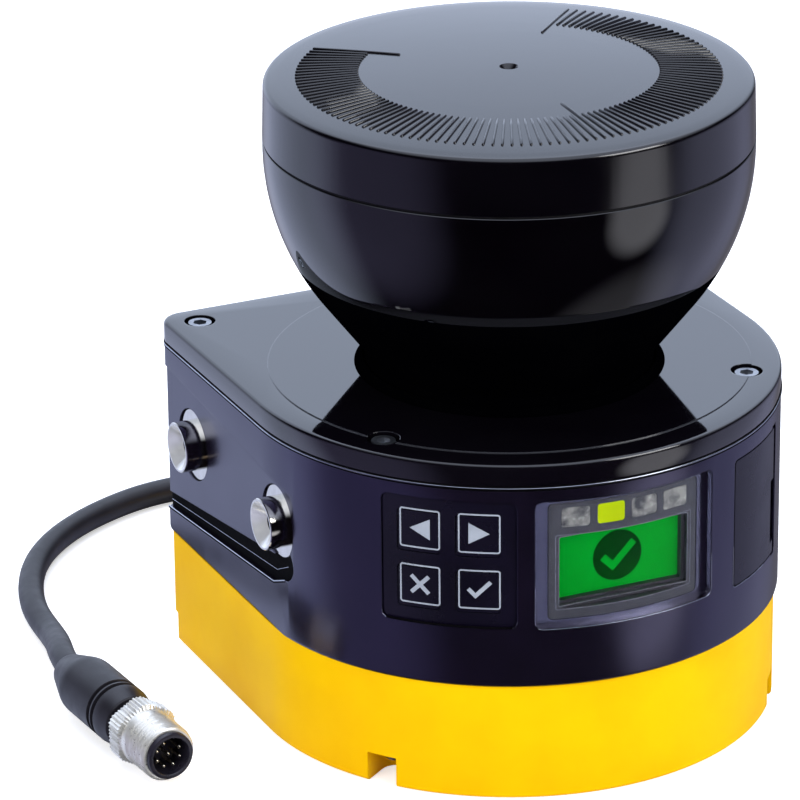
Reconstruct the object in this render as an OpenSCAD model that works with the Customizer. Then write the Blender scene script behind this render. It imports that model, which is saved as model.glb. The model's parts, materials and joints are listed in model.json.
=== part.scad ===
// Safety laser scanner: a D-shaped control housing on a yellow base casting, with a flared
// optics head on top, a keypad, a display window, a service port and a pigtail cable.
// Millimetres. X to the right, Y to the rear, Z up; the origin is where the head's axis
// meets the mounting base. The front is the half round side, towards -Y.

/* [Body] */
// Width of the housing, and the diameter of its half round front
body_w = 112; // [106:1:124]
// Distance from the head's axis to the rear face
body_back = 55; // [52:1:70]
// Radius of the two upright rear corners
rear_corner_r = 5; // [3:0.5:8]
// Height of the yellow base casting
base_h = 25; // [22:1:32]
// Height of the control housing above the base
housing_h = 43.5; // [41:0.5:56]
// Thickness of the top cover plate
cover_h = 5; // [4:0.5:8]
// Wall thickness of the housing and the base casting
wall_t = 4; // [3:0.5:5]
// Thickness of the floors of the housing and the base casting
floor_t = 3; // [2:0.5:4]
// How far the base casting stands inside the housing's outline
base_inset = 0.8; // [0:0.2:2]
// Rounding of the outer edges of the castings
edge_r = 0.8; // [0.4:0.1:1.2]

/* [Head] */
// Radius of the optics cover at its widest
head_r = 50; // [48:0.5:54]
// Height of the optics cover above the cover plate
optics_h = 49; // [46:0.5:60]
// Height of the cap's band above the optics cover
cap_band_h = 12.3; // [10:0.5:18]
// Rise of the domed cap at its centre
cap_dome_h = 2.1; // [1:0.1:4]
// Rounding of the cap's rim
cap_rim_r = 1.2; // [0.6:0.1:2]
// Slope of the neck's cone, measured from the vertical
cone_angle = 37.5; // [34:0.5:42]
// Radius of the round that joins the cone to the upright wall
bowl_round_r = 51; // [44:1:56]
// How far the neck's foot stands inside the head's widest radius
foot_step = 19.8; // [18.6:0.2:21]
// Wall thickness of the optics cover and the cap
head_wall_t = 3; // [2:0.25:4]
// Radius of the polished disc on the cover plate
disc_r = 49.8; // [46:0.2:51]

/* [Angle scale on the cap] */
// Angle that the scale covers, the same as the field of view
scale_angle = 275; // [180:5:300]
// Angle from one groove to the next
scale_pitch = 2.5; // [2.5:2.5:10]
// Radius of the grooves' outer ends
scale_outer_r = 42.9; // [41:0.1:45]
// Radius of the inner ends of the common grooves
scale_inner_r = 30.6; // [28:0.1:36]
// Radius of the inner ends of the three long grooves
scale_long_r = 24; // [20:0.5:27]
// Width of a groove
groove_w = 0.6; // [0.4:0.05:0.9]
// Depth of a groove
groove_depth = 0.5; // [0.3:0.05:0.8]

/* [Keypad] */
// Width of the keypad panel
keypad_w = 27.6; // [26:0.2:29]
// Height of the keypad panel
keypad_h = 27.2; // [26:0.2:29]
// Direction of the keypad, counted from the front towards the left
keypad_az = 38.6; // [37:0.2:42]
// Height of the keypad's centre above the middle of the housing's height
keypad_z = 4.9; // [3.5:0.1:5.1]
// Side of a square key
key_w = 8.6; // [7:0.1:9.4]
// Distance from the centre of one key to the next
key_pitch = 12.1; // [11.4:0.1:12.6]
// Travel of a key
key_travel = 0.4; // [0.3:0.05:0.5]

/* [Display] */
// Width of the display window
window_w = 39.4; // [37:0.2:40]
// Height of the display window
window_h = 27.6; // [25:0.1:28]
// Width of the lit screen
lcd_w = 27; // [24:0.2:28]
// Height of the lit screen
lcd_h = 13.8; // [11:0.2:14]
// Width of a status lamp's lens
lens_w = 5.7; // [5:0.1:6.2]
// Height of a status lamp's lens
lens_h = 4.2; // [3.4:0.1:4.6]
// Distance from one status lamp to the next
lens_pitch = 7.3; // [7:0.1:7.6]

/* [Service flap] */
// Width of the flap over the service port
flap_w = 21.6; // [20:0.2:22.4]
// Height of the flap over the service port
flap_h = 28; // [26:0.5:30]
// Direction of the flap, counted from the front towards the right
flap_az = 39.2; // [39:0.1:41]
// Radius of the flap's hinge pin
hinge_pin_r = 0.8; // [0.6:0.05:1]

/* [Mounting bushes] */
// Outer radius of a bush's barrel
bush_r = 5.4; // [4.5:0.1:7]
// Radius of a bush's flange
bush_flange_r = 7.6; // [7:0.1:9]
// Radius of the threaded bore
thread_r = 2.1; // [1.5:0.05:3.5]
// Depth of the threaded bore
thread_depth = 12; // [8:0.5:13]
// How far a side bush stands out of the wall
bush_reach = 3.7; // [1:0.1:4.5]
// Height of the bushes' axes above the middle of the housing's height
bush_z = 2.4; // [0.4:0.2:4]
// Distance between the two bushes of a side
bush_spacing = 44.4; // [40:0.2:45]
// Distance between the two rear bushes
rear_bush_spacing = 64; // [58:1:70]

/* [Cable] */
// Diameter of the cable's sheath
cable_d = 5.6; // [5:0.1:6.2]
// Radius of the plug's threaded sleeve
plug_thread_r = 6; // [5.5:0.1:6.4]
// Radius of the plug's moulded body
plug_body_r = 6.4; // [6:0.1:7]

/* [Hidden] */

// Smoothness of large and small rounds
fn_large = 180;
fn_small = 48;
// Overlap that keeps cuts and joined solids from sharing a face
eps = 0.05;
// Running clearance round a shaft, and the gap round a loose cover or key
run_gap = 0.05;
part_gap = 0.3;

// Levels, from the base up
housing_z = base_h;
cover_z = base_h + housing_h;
deck_z = cover_z + cover_h;
cap_z = deck_z + optics_h;
rim_z = cap_z + cap_band_h;
body_r = body_w / 2;
foot_r = head_r - foot_step;
housing_mid_z = housing_z + housing_h / 2;

// Colours
c_black = "#1a1820";
c_satin = "#2a2a30";
c_yellow = "#f2c40c";
c_steel = "#c9ccd0";
c_rubber = "#141416";
c_board = "#1d5b3a";
c_glass = "#8fa0b0";
c_green = "#0a9a2a";

// ---------------------------------------------------------------- shared shapes

// Points of a quarter round: centre x, y, radius, first and last angle
function arc(x, y, r, a0, a1, steps = 4) =
  [for (i = [0:steps]) [x + r * cos(a0 + (a1 - a0) * i / steps), y + r * sin(a0 + (a1 - a0) * i / steps)]];

// Upright slab's half section from x = 0 out to x = r, with rounded outer edges
function edge_section(r, z0, z1, top_r, bottom_r) = concat(
  [[0, z0]],
  bottom_r > 0 ? arc(r - bottom_r, z0 + bottom_r, bottom_r, -90, 0) : [[r, z0]],
  top_r > 0 ? arc(r - top_r, z1 - top_r, top_r, 0, 90) : [[r, z1]],
  [[0, z1]]);

// D-shaped slab: half round in front, straight sides, rounded rear corners and edges
module d_slab(inset, z0, z1, top_r = 0, bottom_r = 0) {
  half = body_r - inset;
  back = body_back - inset;
  corner = max(rear_corner_r - inset, max(top_r, bottom_r) + 0.4);
  section = edge_section(half, z0, z1, top_r, bottom_r);
  rotate([0, 0, 180])
    rotate_extrude(angle = 180, $fn = fn_large)
      polygon(section);
  for (side = [0, 1])
    mirror([side, 0, 0])
      translate([0, back - corner, 0])
        rotate([90, 0, 0])
          linear_extrude(back - corner + eps)
            polygon(section);
  translate([corner - half, 0, 0])
    rotate([90, 0, 90])
      linear_extrude(2 * (half - corner))
        polygon(edge_section(back, z0, z1, top_r, bottom_r));
  for (side = [-1, 1])
    translate([side * (half - corner), back - corner, 0])
      rotate_extrude($fn = fn_small)
        polygon(edge_section(corner, z0, z1, top_r, bottom_r));
}

// Rounded rectangle, centred
module rounded_rect(w, h, r) {
  square([w - 2 * r, h], center = true);
  square([w, h - 2 * r], center = true);
  for (x = [-1, 1], y = [-1, 1])
    translate([x * (w / 2 - r), y * (h / 2 - r)])
      circle(r = r, $fn = fn_small);
}

// Upright block with rounded corners that reaches forward from the head's axis
module forward_block(w, h, r, from_y, to_y) {
  translate([0, -from_y, 0])
    rotate([90, 0, 0])
      linear_extrude(to_y - from_y)
        rounded_rect(w, h, r);
}

// Upright ring wall between two radii
module ring(r_out, r_in, z0, z1) {
  translate([0, 0, z0])
    difference() {
      cylinder(r = r_out, h = z1 - z0, $fn = fn_large);
      translate([0, 0, -1])
        cylinder(r = r_in, h = z1 - z0 + 2, $fn = fn_large);
    }
}

// Curved plate in the housing's front wall, turned az degrees to the right of the front
module curved_plate(az, z, w, h, r, r_out, r_in) {
  rotate([0, 0, az])
    intersection() {
      ring(r_out, r_in, z - h / 2 - 1, z + h / 2 + 1);
      translate([0, 0, z])
        forward_block(w, h, r, r_in / 2, r_out + 1);
    }
}

// Places of the four screws that hold the cover plate
screw_inset = 7;
cover_screw_az = 56.5;
base_screw_az = 53.9;
screw_front_r = body_r - screw_inset;
screw_rear_x = body_r - screw_inset;
screw_rear_y = body_back - screw_inset;
module at_cover_screws(z) {
  for (side = [0, 1])
    mirror([side, 0, 0]) {
      rotate([0, 0, -cover_screw_az])
        translate([0, -screw_front_r, z])
          children();
      translate([-screw_rear_x, screw_rear_y, z])
        children();
    }
}

// Places of the four base screws, each turned so that -Y points out through the nearest wall
module at_base_screws(z) {
  for (side = [0, 1])
    mirror([side, 0, 0]) {
      rotate([0, 0, -base_screw_az])
        translate([0, -screw_front_r, z])
          children();
      translate([-screw_rear_x, screw_rear_y, z])
        rotate([0, 0, -135])
          children();
    }
}
boss_r = 3.8;
tap_r = 1.7;
clear_r = 2;
head_screw_r = 2.75;
screw_recess_r = 3.3;

// Socket head screw: head at z = 0 facing up, shank of the given length below it
module socket_screw(length, head_h) {
  difference() {
    union() {
      translate([0, 0, -head_h])
        cylinder(r1 = head_screw_r, r2 = head_screw_r - 0.3, h = head_h, $fn = fn_small);
      translate([0, 0, -length])
        cylinder(r = tap_r - run_gap, h = length - head_h + eps, $fn = fn_small);
    }
    translate([0, 0, -head_h * 0.6])
      cylinder(r = head_screw_r * 0.55, h = head_h, $fn = 6);
  }
}

// ---------------------------------------------------------------- base

screw_head_h = 2.6;
screw_grip = 8;
base_pocket_h = 6.5;
base_boss_r = screw_recess_r + 2.2;
seal_w = 2;
seal_depth = 1;
post_x = 24;
post_y = 26;
post_r = 2.4;
post_h = 4;

// Ring that follows the D outline, between two insets
module d_ring(inset, width, z0, z1) {
  difference() {
    d_slab(inset, z0, z1);
    d_slab(inset + width, z0 - 1, z1 + 1);
  }
}

// Four posts that carry a board
module board_posts(z) {
  for (x = [-1, 1], y = [-1, 1])
    translate([x * post_x, y * post_y, z - 1])
      cylinder(r = post_r, h = post_h + 1, $fn = fn_small);
}

// Yellow tray: floor, wall, board posts and four bosses whose screw pockets open sideways
module base_casting() {
  channel = screw_recess_r * 2;
  color(c_yellow)
    difference() {
      union() {
        difference() {
          d_slab(base_inset, 0, base_h, 0, edge_r);
          d_slab(base_inset + wall_t, floor_t, base_h + 1);
        }
        intersection() {
          d_slab(base_inset + edge_r, 0, base_h);
          at_base_screws(1) {
            cylinder(r = base_boss_r, h = base_h, $fn = fn_small);
            translate([-base_boss_r, -2 * screw_inset, 0])
              cube([2 * base_boss_r, 2 * screw_inset, base_pocket_h + floor_t - 1]);
          }
        }
        board_posts(floor_t);
      }
      at_base_screws(-1) {
        cylinder(r = clear_r, h = base_h + 2, $fn = fn_small);
        cylinder(r = screw_recess_r, h = base_pocket_h + 1, $fn = fn_small);
        translate([-channel / 2, -2 * screw_inset, 0])
          cube([channel, 2 * screw_inset, base_pocket_h + 1]);
      }
      d_ring(base_inset + (wall_t - seal_w) / 2, seal_w, base_h - seal_depth, base_h + 1);
    }
}

// Sealing cord in the base casting's upper edge
module base_seal() {
  color(c_rubber)
    d_ring(base_inset + (wall_t - seal_w) / 2 + 0.1, seal_w - 0.2, base_h - seal_depth, base_h);
}

// Screws that hold the base to the housing, from below
module base_screws() {
  color(c_steel)
    at_base_screws(base_pocket_h - screw_head_h)
      mirror([0, 0, 1])
        socket_screw(base_h - base_pocket_h + screw_head_h + screw_grip, screw_head_h);
}

board_t = 1.6;
board_margin = 3;

// Board outline: the D, drawn in by a margin and notched round the screw bosses
module d_board(z, inset, notch_r) {
  difference() {
    d_slab(inset, z, z + board_t);
    at_base_screws(z - 1)
      cylinder(r = notch_r, h = board_t + 2, $fn = fn_small);
  }
}

// Terminal board in the base, with its header and screw terminals
terminal_size = [18, 9, 8];
terminal_pitch = 24;
terminal_y = 24;
header_size = [40, 6, 9];
header_y = -18;
module terminal_board() {
  board_z = floor_t + post_h;
  top = board_z + board_t - eps;
  color(c_board)
    d_board(board_z, base_inset + wall_t + board_margin, base_boss_r + 1);
  color(c_rubber)
    for (i = [-1:1])
      translate([i * terminal_pitch - terminal_size[0] / 2, terminal_y, top])
        cube(terminal_size);
  color(c_satin)
    translate([-header_size[0] / 2, header_y, top])
      cube(header_size);
}

// ---------------------------------------------------------------- housing

flat_inset = 1.4;
flat_low_inset = 1;
flat_top = 33.3;
flat_tilt = 4.3;
slot_depth = 2.2;
slot_step_depth = 0.8;
slot_step_w = 1;
side_pad_t = flat_inset + slot_depth + 2;
side_pad_y = -14;
keypad_mid_z = housing_mid_z + keypad_z;
window_rise = 4.7;
window_mid_z = housing_mid_z + window_rise;
flap_rise = 3.7;
flap_mid_z = housing_mid_z + flap_rise;
panel_t = 1.6;
panel_r = body_r - 0.4;
keypad_floor_r = panel_r - panel_t;
key_t = 1;
key_stem_r = 1.1;
key_stem_len = 4.3;
pane_t = 1.8;
pane_r = body_r - 0.2;
window_ledge_w = 3.2;
window_ledge_h = 1.2;
display_back_r = body_r - 10.2;
display_pad_w = 2.4;
switch_front_r = panel_r - key_t - key_stem_len - key_travel - 0.1;
switch_board_r = switch_front_r - 5;
flap_t = 1.7;
flap_knuckle_r = 1.7;
knuckle_room = 0.5;
pin_at_r = body_r - flap_knuckle_r - 0.1;
pin_end = 1.7;
pin_reach = 1.4;
pin_az = flap_az + asin((flap_w / 2 - flap_knuckle_r) / body_r);
port_w = 11;
port_h = 15;
port_floor_y = 31;
port_wall = 2;
port_x = body_r * sin(flap_az) - 1;
port_z = flap_mid_z + 1;
bush_mid_z = housing_mid_z + bush_z;
bush_front_y = -4.6;
bush_flange_t = 1.2;
bush_sink = 0.4;
bush_gap = 0.2;
bush_body_len = thread_depth + 1;
gland_x = 32;
gland_rise = 9;
gland_z = housing_z + gland_rise;
gland_r = 7;
gland_bore_r = 5;
rear_bush_rise = 4.2;
rear_bush_z = housing_mid_z + rear_bush_rise;

// Places of the two bushes on the left side; the right side mirrors them
module at_side_bushes() {
  for (y = [bush_front_y, bush_front_y + bush_spacing])
    translate([-body_r + flat_inset, y, bush_mid_z])
      rotate([0, -90, 0])
        children();
}

// Places of the two rear bushes
module at_rear_bushes() {
  for (side = [-1, 1])
    translate([side * rear_bush_spacing / 2, body_back, rear_bush_z])
      rotate([-90, 0, 0])
        children();
}

// Places of the four keys: column and row are -1 or 1
module at_key(column, row) {
  key_az = -keypad_az + column * asin(key_pitch / 2 / panel_r);
  rotate([0, 0, key_az])
    translate([0, 0, keypad_mid_z + row * key_pitch / 2])
      children();
}
module at_keys() {
  for (column = [-1, 1], row = [-1, 1])
    at_key(column, row)
      children();
}

// Guide slot under the bushes, seen from the left side: it widens and rises to the front
slot_tip = [-8.9, 16.3];
slot_bend = [-3, 13.3];
slot_tail = [body_back + 2, 6.3];
slot_tip_r = 3.5;
slot_bend_r = 3;
slot_tail_r = 1.6;
module slot_run(a, b, ra, rb) {
  polygon([[a[0], a[1] - ra], [b[0], b[1] - rb], [b[0], b[1] + rb], [a[0], a[1] + ra]]);
}
module slot_outline(shrink) {
  translate(slot_tip)
    circle(r = slot_tip_r - shrink, $fn = fn_small);
  translate(slot_bend)
    circle(r = slot_bend_r - shrink, $fn = fn_small);
  slot_run(slot_tip, slot_bend, slot_tip_r - shrink, slot_bend_r - shrink);
  slot_run(slot_bend, slot_tail, slot_bend_r - shrink, slot_tail_r - shrink);
}

// Tool that cuts a side-view outline into the left wall, down to a depth below its surface
module side_cut(depth) {
  translate([-body_r - 1, 0, housing_z])
    rotate([90, 0, 90])
      linear_extrude(depth + 1)
        children();
}

// Mounting flat on the left side: its upper edge slopes and is chamfered
module side_flat_cut() {
  intersection() {
    translate([-body_r + flat_inset, 0, housing_z + flat_top])
      rotate([flat_tilt, 0, 0])
        rotate([90, 0, 0])
          linear_extrude(3 * body_back, center = true)
            polygon([[0, 0], [-flat_inset - 1, flat_inset + 1], [-flat_inset - 1, -housing_h],
              [0, -housing_h]]);
    side_cut(flat_inset)
      polygon([slot_tail, [slot_tail[0], housing_h], [-body_r, housing_h], [-body_r, slot_tip[1]],
        slot_tip, slot_bend]);
  }
  side_cut(flat_low_inset)
    polygon([slot_tail, [slot_tail[0], -1], [-body_r, -1], [-body_r, slot_tip[1]], slot_tip,
      slot_bend]);
}

module side_slot_cut() {
  side_cut(flat_inset + slot_step_depth)
    slot_outline(0);
  side_cut(flat_inset + slot_depth)
    slot_outline(slot_step_w);
}

// Hollow body of the housing with everything that is cast on to it
module housing_solid() {
  difference() {
    d_slab(0, housing_z, cover_z, edge_r / 2, edge_r);
    d_slab(wall_t, housing_z + floor_t, cover_z + 1);
  }
  at_cover_screws(housing_z + 1)
    cylinder(r = boss_r, h = housing_h - 1, $fn = fn_small);
  at_base_screws(housing_z + 1)
    cylinder(r = boss_r, h = screw_grip + 4, $fn = fn_small);
  board_posts(housing_z + floor_t);
  for (side = [0, 1])
    mirror([side, 0, 0]) {
      translate([-body_r + wall_t - 1, side_pad_y, housing_z + 1])
        cube([side_pad_t - wall_t + 1, body_back - wall_t - side_pad_y + 1, housing_h - 4]);
      at_side_bushes()
        translate([0, 0, -bush_body_len - 2])
          cylinder(r = bush_r + 2, h = bush_body_len, $fn = fn_small);
    }
  at_rear_bushes()
    translate([0, 0, -bush_body_len - 2])
      cylinder(r = bush_r + 2, h = bush_body_len, $fn = fn_small);
  intersection() {
    translate([port_x - port_w / 2 - port_wall, -body_r, port_z - port_h / 2 - port_wall])
      cube([port_w + 2 * port_wall, body_r - port_floor_y + port_wall, port_h + 2 * port_wall]);
    cylinder(r = body_r - 2, h = cover_z, $fn = fn_large);
  }
  for (side = [-1, 1])
    translate([side * (window_w / 2 - window_ledge_w + 1.4), 0, window_mid_z])
      forward_block(display_pad_w, 10, 0.4, display_back_r, body_r - wall_t - 1);
  rotate([0, 0, -keypad_az])
    for (side = [-1, 1])
      translate([0, 0, keypad_mid_z + side * (keypad_h / 2 - 3.4)])
        forward_block(4, 3, 0.4, switch_board_r, body_r - wall_t + 1);
}

// Control housing with its recesses, windows, bores and threads
module housing() {
  color(c_black)
    difference() {
      housing_solid();
      for (side = [0, 1])
        mirror([side, 0, 0]) {
          side_flat_cut();
          side_slot_cut();
          at_side_bushes()
            bush_seat(bush_flange_t + bush_sink);
        }
      at_rear_bushes()
        bush_seat(bush_flange_t + bush_sink);
      at_cover_screws(cover_z - 2 * screw_grip)
        cylinder(r = tap_r, h = 2 * screw_grip + 1, $fn = fn_small);
      at_base_screws(housing_z - 1)
        cylinder(r = tap_r, h = screw_grip + 3, $fn = fn_small);
      curved_plate(-keypad_az, keypad_mid_z, keypad_w, keypad_h, 1.6, body_r + 1, keypad_floor_r);
      at_keys() {
        forward_block(key_w + 0.6, key_w + 0.6, 0.8, keypad_floor_r - key_travel - 0.2, body_r);
        forward_block(2 * key_stem_r + 1, 2 * key_stem_r + 1, key_stem_r, switch_front_r + 0.2, body_r);
      }
      curved_plate(0, window_mid_z, window_w, window_h, 1.6, body_r + 1, pane_r - pane_t);
      translate([0, 0, window_mid_z])
        forward_block(window_w - 2 * window_ledge_w, window_h - 2 * window_ledge_h, 1,
          body_r / 2, body_r);
      curved_plate(flap_az, flap_mid_z, flap_w, flap_h, 1, body_r + 1, body_r - flap_t - 0.2);
      rotate([0, 0, pin_az])
        translate([0, -pin_at_r, flap_mid_z - flap_h / 2]) {
          translate([0, 0, -knuckle_room])
            cylinder(r = flap_knuckle_r + part_gap + 0.2, h = flap_h + 2 * knuckle_room, $fn = fn_small);
          translate([0, 0, -pin_end])
            cylinder(r = hinge_pin_r, h = flap_h + 2 * pin_end, $fn = fn_small);
        }
      translate([port_x - port_w / 2, -body_r, port_z - port_h / 2])
        cube([port_w, body_r - port_floor_y, port_h]);
      translate([gland_x, body_back + 1, gland_z])
        rotate([90, 0, 0])
          cylinder(r = gland_bore_r, h = wall_t + 2, $fn = fn_small);
      d_ring((wall_t - seal_w) / 2, seal_w, cover_z - seal_depth, cover_z + 1);
    }
}

// Sealing cord in the housing's upper edge
module cover_seal() {
  color(c_rubber)
    d_ring((wall_t - seal_w) / 2 + 0.1, seal_w - 0.2, cover_z - seal_depth, cover_z);
}

// Bore and spot face for a bush, and the bush itself: a flange just under the wall's surface,
// a countersunk mouth and a blind threaded bore
module bush_seat(face_depth) {
  translate([0, 0, -bush_body_len])
    cylinder(r = bush_r, h = bush_body_len + 1, $fn = fn_small);
  translate([0, 0, -face_depth])
    cylinder(r = bush_flange_r + bush_gap, h = face_depth + 3, $fn = fn_small);
}

module bush(reach) {
  sink_in = bush_r - thread_r - 0.7;
  difference() {
    union() {
      translate([0, 0, -bush_body_len])
        cylinder(r = bush_r, h = bush_body_len + reach, $fn = fn_small);
      translate([0, 0, -bush_flange_t - bush_sink])
        cylinder(r = bush_flange_r, h = bush_flange_t, $fn = fn_small);
    }
    translate([0, 0, reach - thread_depth])
      cylinder(r = thread_r, h = thread_depth + 1, $fn = fn_small);
    translate([0, 0, reach - sink_in])
      cylinder(r1 = thread_r, r2 = thread_r + sink_in + eps, h = sink_in + eps, $fn = fn_small);
  }
}

module side_bushes_left() {
  color(c_steel)
    at_side_bushes()
      bush(bush_reach);
}

module side_bushes_right() {
  color(c_steel)
    mirror([1, 0, 0])
      at_side_bushes()
        bush(bush_reach);
}

module rear_bushes() {
  color(c_steel)
    at_rear_bushes()
      bush(-bush_sink);
}

// ---------------------------------------------------------------- cover plate

foot_flange_r = foot_r + 3;
foot_flange_h = 2;
disc_rise = 0.2;

// D-shaped plate with the polished disc, the neck's opening and four screw recesses
module cover_plate() {
  color(c_satin)
    difference() {
      union() {
        d_slab(0, cover_z, deck_z - disc_rise, edge_r, edge_r / 2);
        translate([0, 0, cover_z + 1])
          cylinder(r = disc_r, h = cover_h - 1, $fn = fn_large);
      }
      translate([0, 0, cover_z - 1])
        cylinder(r = foot_r + 0.1, h = cover_h + 2, $fn = fn_large);
      translate([0, 0, cover_z - 1])
        cylinder(r = foot_flange_r + 0.1, h = foot_flange_h + seal_depth + 1, $fn = fn_large);
      at_cover_screws(deck_z - screw_head_h)
        cylinder(r = screw_recess_r, h = screw_head_h + 1, $fn = fn_small);
      at_cover_screws(cover_z - 1)
        cylinder(r = clear_r, h = cover_h + 2, $fn = fn_small);
      at_clamp_screws(cover_z - 1)
        cylinder(r = clamp_tap_r, h = cover_h - 1, $fn = fn_small);
    }
}

module cover_screws() {
  color(c_steel)
    at_cover_screws(deck_z - 0.5)
      socket_screw(cover_h + screw_grip, screw_head_h - 0.5);
}

clamp_t = 2.5;
clamp_tap_r = 1.2;
clamp_circle_r = foot_flange_r + 2.6;
clamp_ring_r = foot_flange_r + 5.2;
module at_clamp_screws(z) {
  for (a = [0:60:300])
    rotate([0, 0, a])
      translate([clamp_circle_r, 0, z])
        children();
}

// Ring under the cover plate that clamps the optics cover's foot
module clamp_ring() {
  color(c_steel)
    difference() {
      ring(clamp_ring_r, foot_r - 2.5, cover_z - clamp_t, cover_z);
      at_clamp_screws(cover_z - clamp_t - 1)
        cylinder(r = clamp_tap_r + 0.2, h = clamp_t + 2, $fn = fn_small);
    }
}

module clamp_screws() {
  color(c_steel)
    at_clamp_screws(0) {
      translate([0, 0, cover_z - clamp_t - 1.6])
        cylinder(r = 2.2, h = 1.6, $fn = fn_small);
      translate([0, 0, cover_z - clamp_t - 0.1])
        cylinder(r = clamp_tap_r - run_gap, h = clamp_t + 2.6, $fn = fn_small);
    }
}

// Flat seal between the neck's flange and the cover plate
module foot_seal() {
  color(c_rubber)
    ring(foot_flange_r, foot_r + 0.15, cover_z + foot_flange_h,
      cover_z + foot_flange_h + seal_depth);
}

// ---------------------------------------------------------------- optics head

// Ledge at the optics cover's upper edge, where the motor's bracket is let in
bracket_t = 2.5;
bracket_z = cap_z - bracket_t;
bracket_lip = 1.5;

// Outline of the optics cover, from the foot up: fillet, cone and the round to the upright wall
bowl_centre_r = head_r - bowl_round_r;
bowl_centre_z = cap_z - 1.4;
ledge_angle = asin((bracket_z - bowl_centre_z) / bowl_round_r);
cone_top_r = bowl_centre_r + bowl_round_r * cos(cone_angle);
cone_top_z = bowl_centre_z - bowl_round_r * sin(cone_angle);
foot_fillet_r = 3;
foot_lip_h = 0.6;
fillet_mid_z = deck_z + foot_lip_h + foot_fillet_r;
function cone_r(z) = cone_top_r - (cone_top_z - z) * tan(cone_angle);

function bowl_outline() = concat(
  arc(bowl_centre_r, bowl_centre_z, bowl_round_r, 0, -cone_angle, 12),
  [[cone_r(fillet_mid_z), fillet_mid_z]],
  [for (i = [1:3])
    [cone_r(fillet_mid_z) + (foot_r - cone_r(fillet_mid_z)) * (1 - cos(i * 30)),
     fillet_mid_z - foot_fillet_r * sin(i * 30)]],
  [[foot_r, cover_z + foot_flange_h]]);

// Thin flared shell that the laser light passes through, with a clamping flange at its foot
module optics_cover() {
  color(c_black)
    rotate_extrude($fn = fn_large)
      polygon(concat(
        [[head_r - bracket_lip, bracket_z], [head_r - bracket_lip, cap_z], [head_r, cap_z]],
        bowl_outline(),
        [[foot_flange_r, cover_z + foot_flange_h], [foot_flange_r, cover_z],
         [cone_r(fillet_mid_z) - head_wall_t, cover_z],
         [cone_r(fillet_mid_z) - head_wall_t, fillet_mid_z],
         [cone_top_r - head_wall_t, cone_top_z]],
        arc(bowl_centre_r - head_wall_t, bowl_centre_z, bowl_round_r, -cone_angle, ledge_angle, 12)));
}

cap_seal_h = 0.5;
cap_dome_steps = 6;
cap_top_r = head_r - 0.3;
dome_r = (cap_top_r * cap_top_r + cap_dome_h * cap_dome_h) / (2 * cap_dome_h);
function dome_z(r) = rim_z + cap_dome_h - dome_r + sqrt(dome_r * dome_r - r * r);

// Thin seal that shows as a fine dark line between the optics cover and its cap
module cap_seal() {
  color(c_rubber)
    ring(head_r - 0.4, head_r - head_wall_t, cap_z, cap_z + cap_seal_h);
}

// One groove of the scale, cut along a radius and tilted with the dome's slope
module scale_groove(inner_r) {
  mid_r = (inner_r + scale_outer_r) / 2;
  tilt = atan(mid_r / dome_r);
  length = scale_outer_r - inner_r;
  translate([0, -mid_r, dome_z(mid_r) - groove_depth])
    rotate([tilt, 0, 0]) {
      translate([-groove_w / 2, -length / 2, 0])
        cube([groove_w, length, groove_depth + 2]);
      translate([0, -length / 2, 0])
        cylinder(r = groove_w * 0.7, h = groove_depth + 2, $fn = 16);
    }
}

// Cap with its upright band, domed top, centre mark and the engraved angle scale
module optics_cap() {
  z0 = cap_z + cap_seal_h;
  marks = floor(scale_angle / scale_pitch / 2);
  color(c_satin)
    difference() {
      rotate_extrude($fn = fn_large)
        polygon(concat(
          [[head_r - head_wall_t, z0], [head_r, z0]],
          arc(cap_top_r - cap_rim_r, rim_z - cap_rim_r, cap_rim_r, 0, 80),
          [for (i = [1:cap_dome_steps])
            let (r = (cap_top_r - cap_rim_r) * (1 - i / cap_dome_steps)) [r, dome_z(r)]],
          [[0, rim_z - head_wall_t], [head_r - head_wall_t, rim_z - head_wall_t]]));
      translate([0, 0, dome_z(0) - 1.6])
        cylinder(r1 = 0.9, r2 = 1.9, h = 1.6 + eps, $fn = fn_small);
      for (i = [-marks:marks])
        rotate([0, 0, i * scale_pitch])
          scale_groove(abs(i) == marks || i == 0 ? scale_long_r : scale_inner_r);
    }
}

// ---------------------------------------------------------------- keypad

// Curved moulded panel with four square windows for the keys
module keypad_panel() {
  color(c_satin)
    difference() {
      curved_plate(-keypad_az, keypad_mid_z, keypad_w - 0.3, keypad_h - 0.3, 1.5,
        panel_r, keypad_floor_r);
      at_keys()
        forward_block(key_w + 0.4, key_w + 0.4, 0.7, body_r / 2, body_r + 1);
    }
}

// Key cap with the stem that reaches its switch
module key(column, row) {
  color(c_satin)
    at_key(column, row) {
      intersection() {
        ring(panel_r, panel_r - key_t, -key_w, key_w);
        forward_block(key_w, key_w, 0.6, body_r / 2, body_r + 1);
      }
      translate([0, -panel_r + key_t - 0.3, 0])
        rotate([-90, 0, 0])
          cylinder(r = key_stem_r, h = key_stem_len + 0.3, $fn = fn_small);
    }
}

module key_left() { key(-1, 1); }
module key_right() { key(1, 1); }
module key_cancel() { key(-1, -1); }
module key_confirm() { key(1, -1); }

// Four push switches behind the keys, on their own small board
module key_switches() {
  color(c_board)
    rotate([0, 0, -keypad_az])
      translate([0, 0, keypad_mid_z])
        forward_block(key_pitch + 6, keypad_h - 4, 0.6, switch_board_r - board_t, switch_board_r);
  color(c_rubber)
    at_keys()
      forward_block(4, 4, 0.5, switch_board_r - 0.8, switch_front_r);
}

// ---------------------------------------------------------------- display

frame_w = window_w - 2 * window_ledge_w - 0.4;
frame_h = window_h - 2 * window_ledge_h - 0.2;
lcd_front_r = body_r - 6.8;
glass_gap = 0.1;
lens_row_z = window_mid_z + 9.4;
lcd_mid_z = window_mid_z - 2.4;

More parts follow.
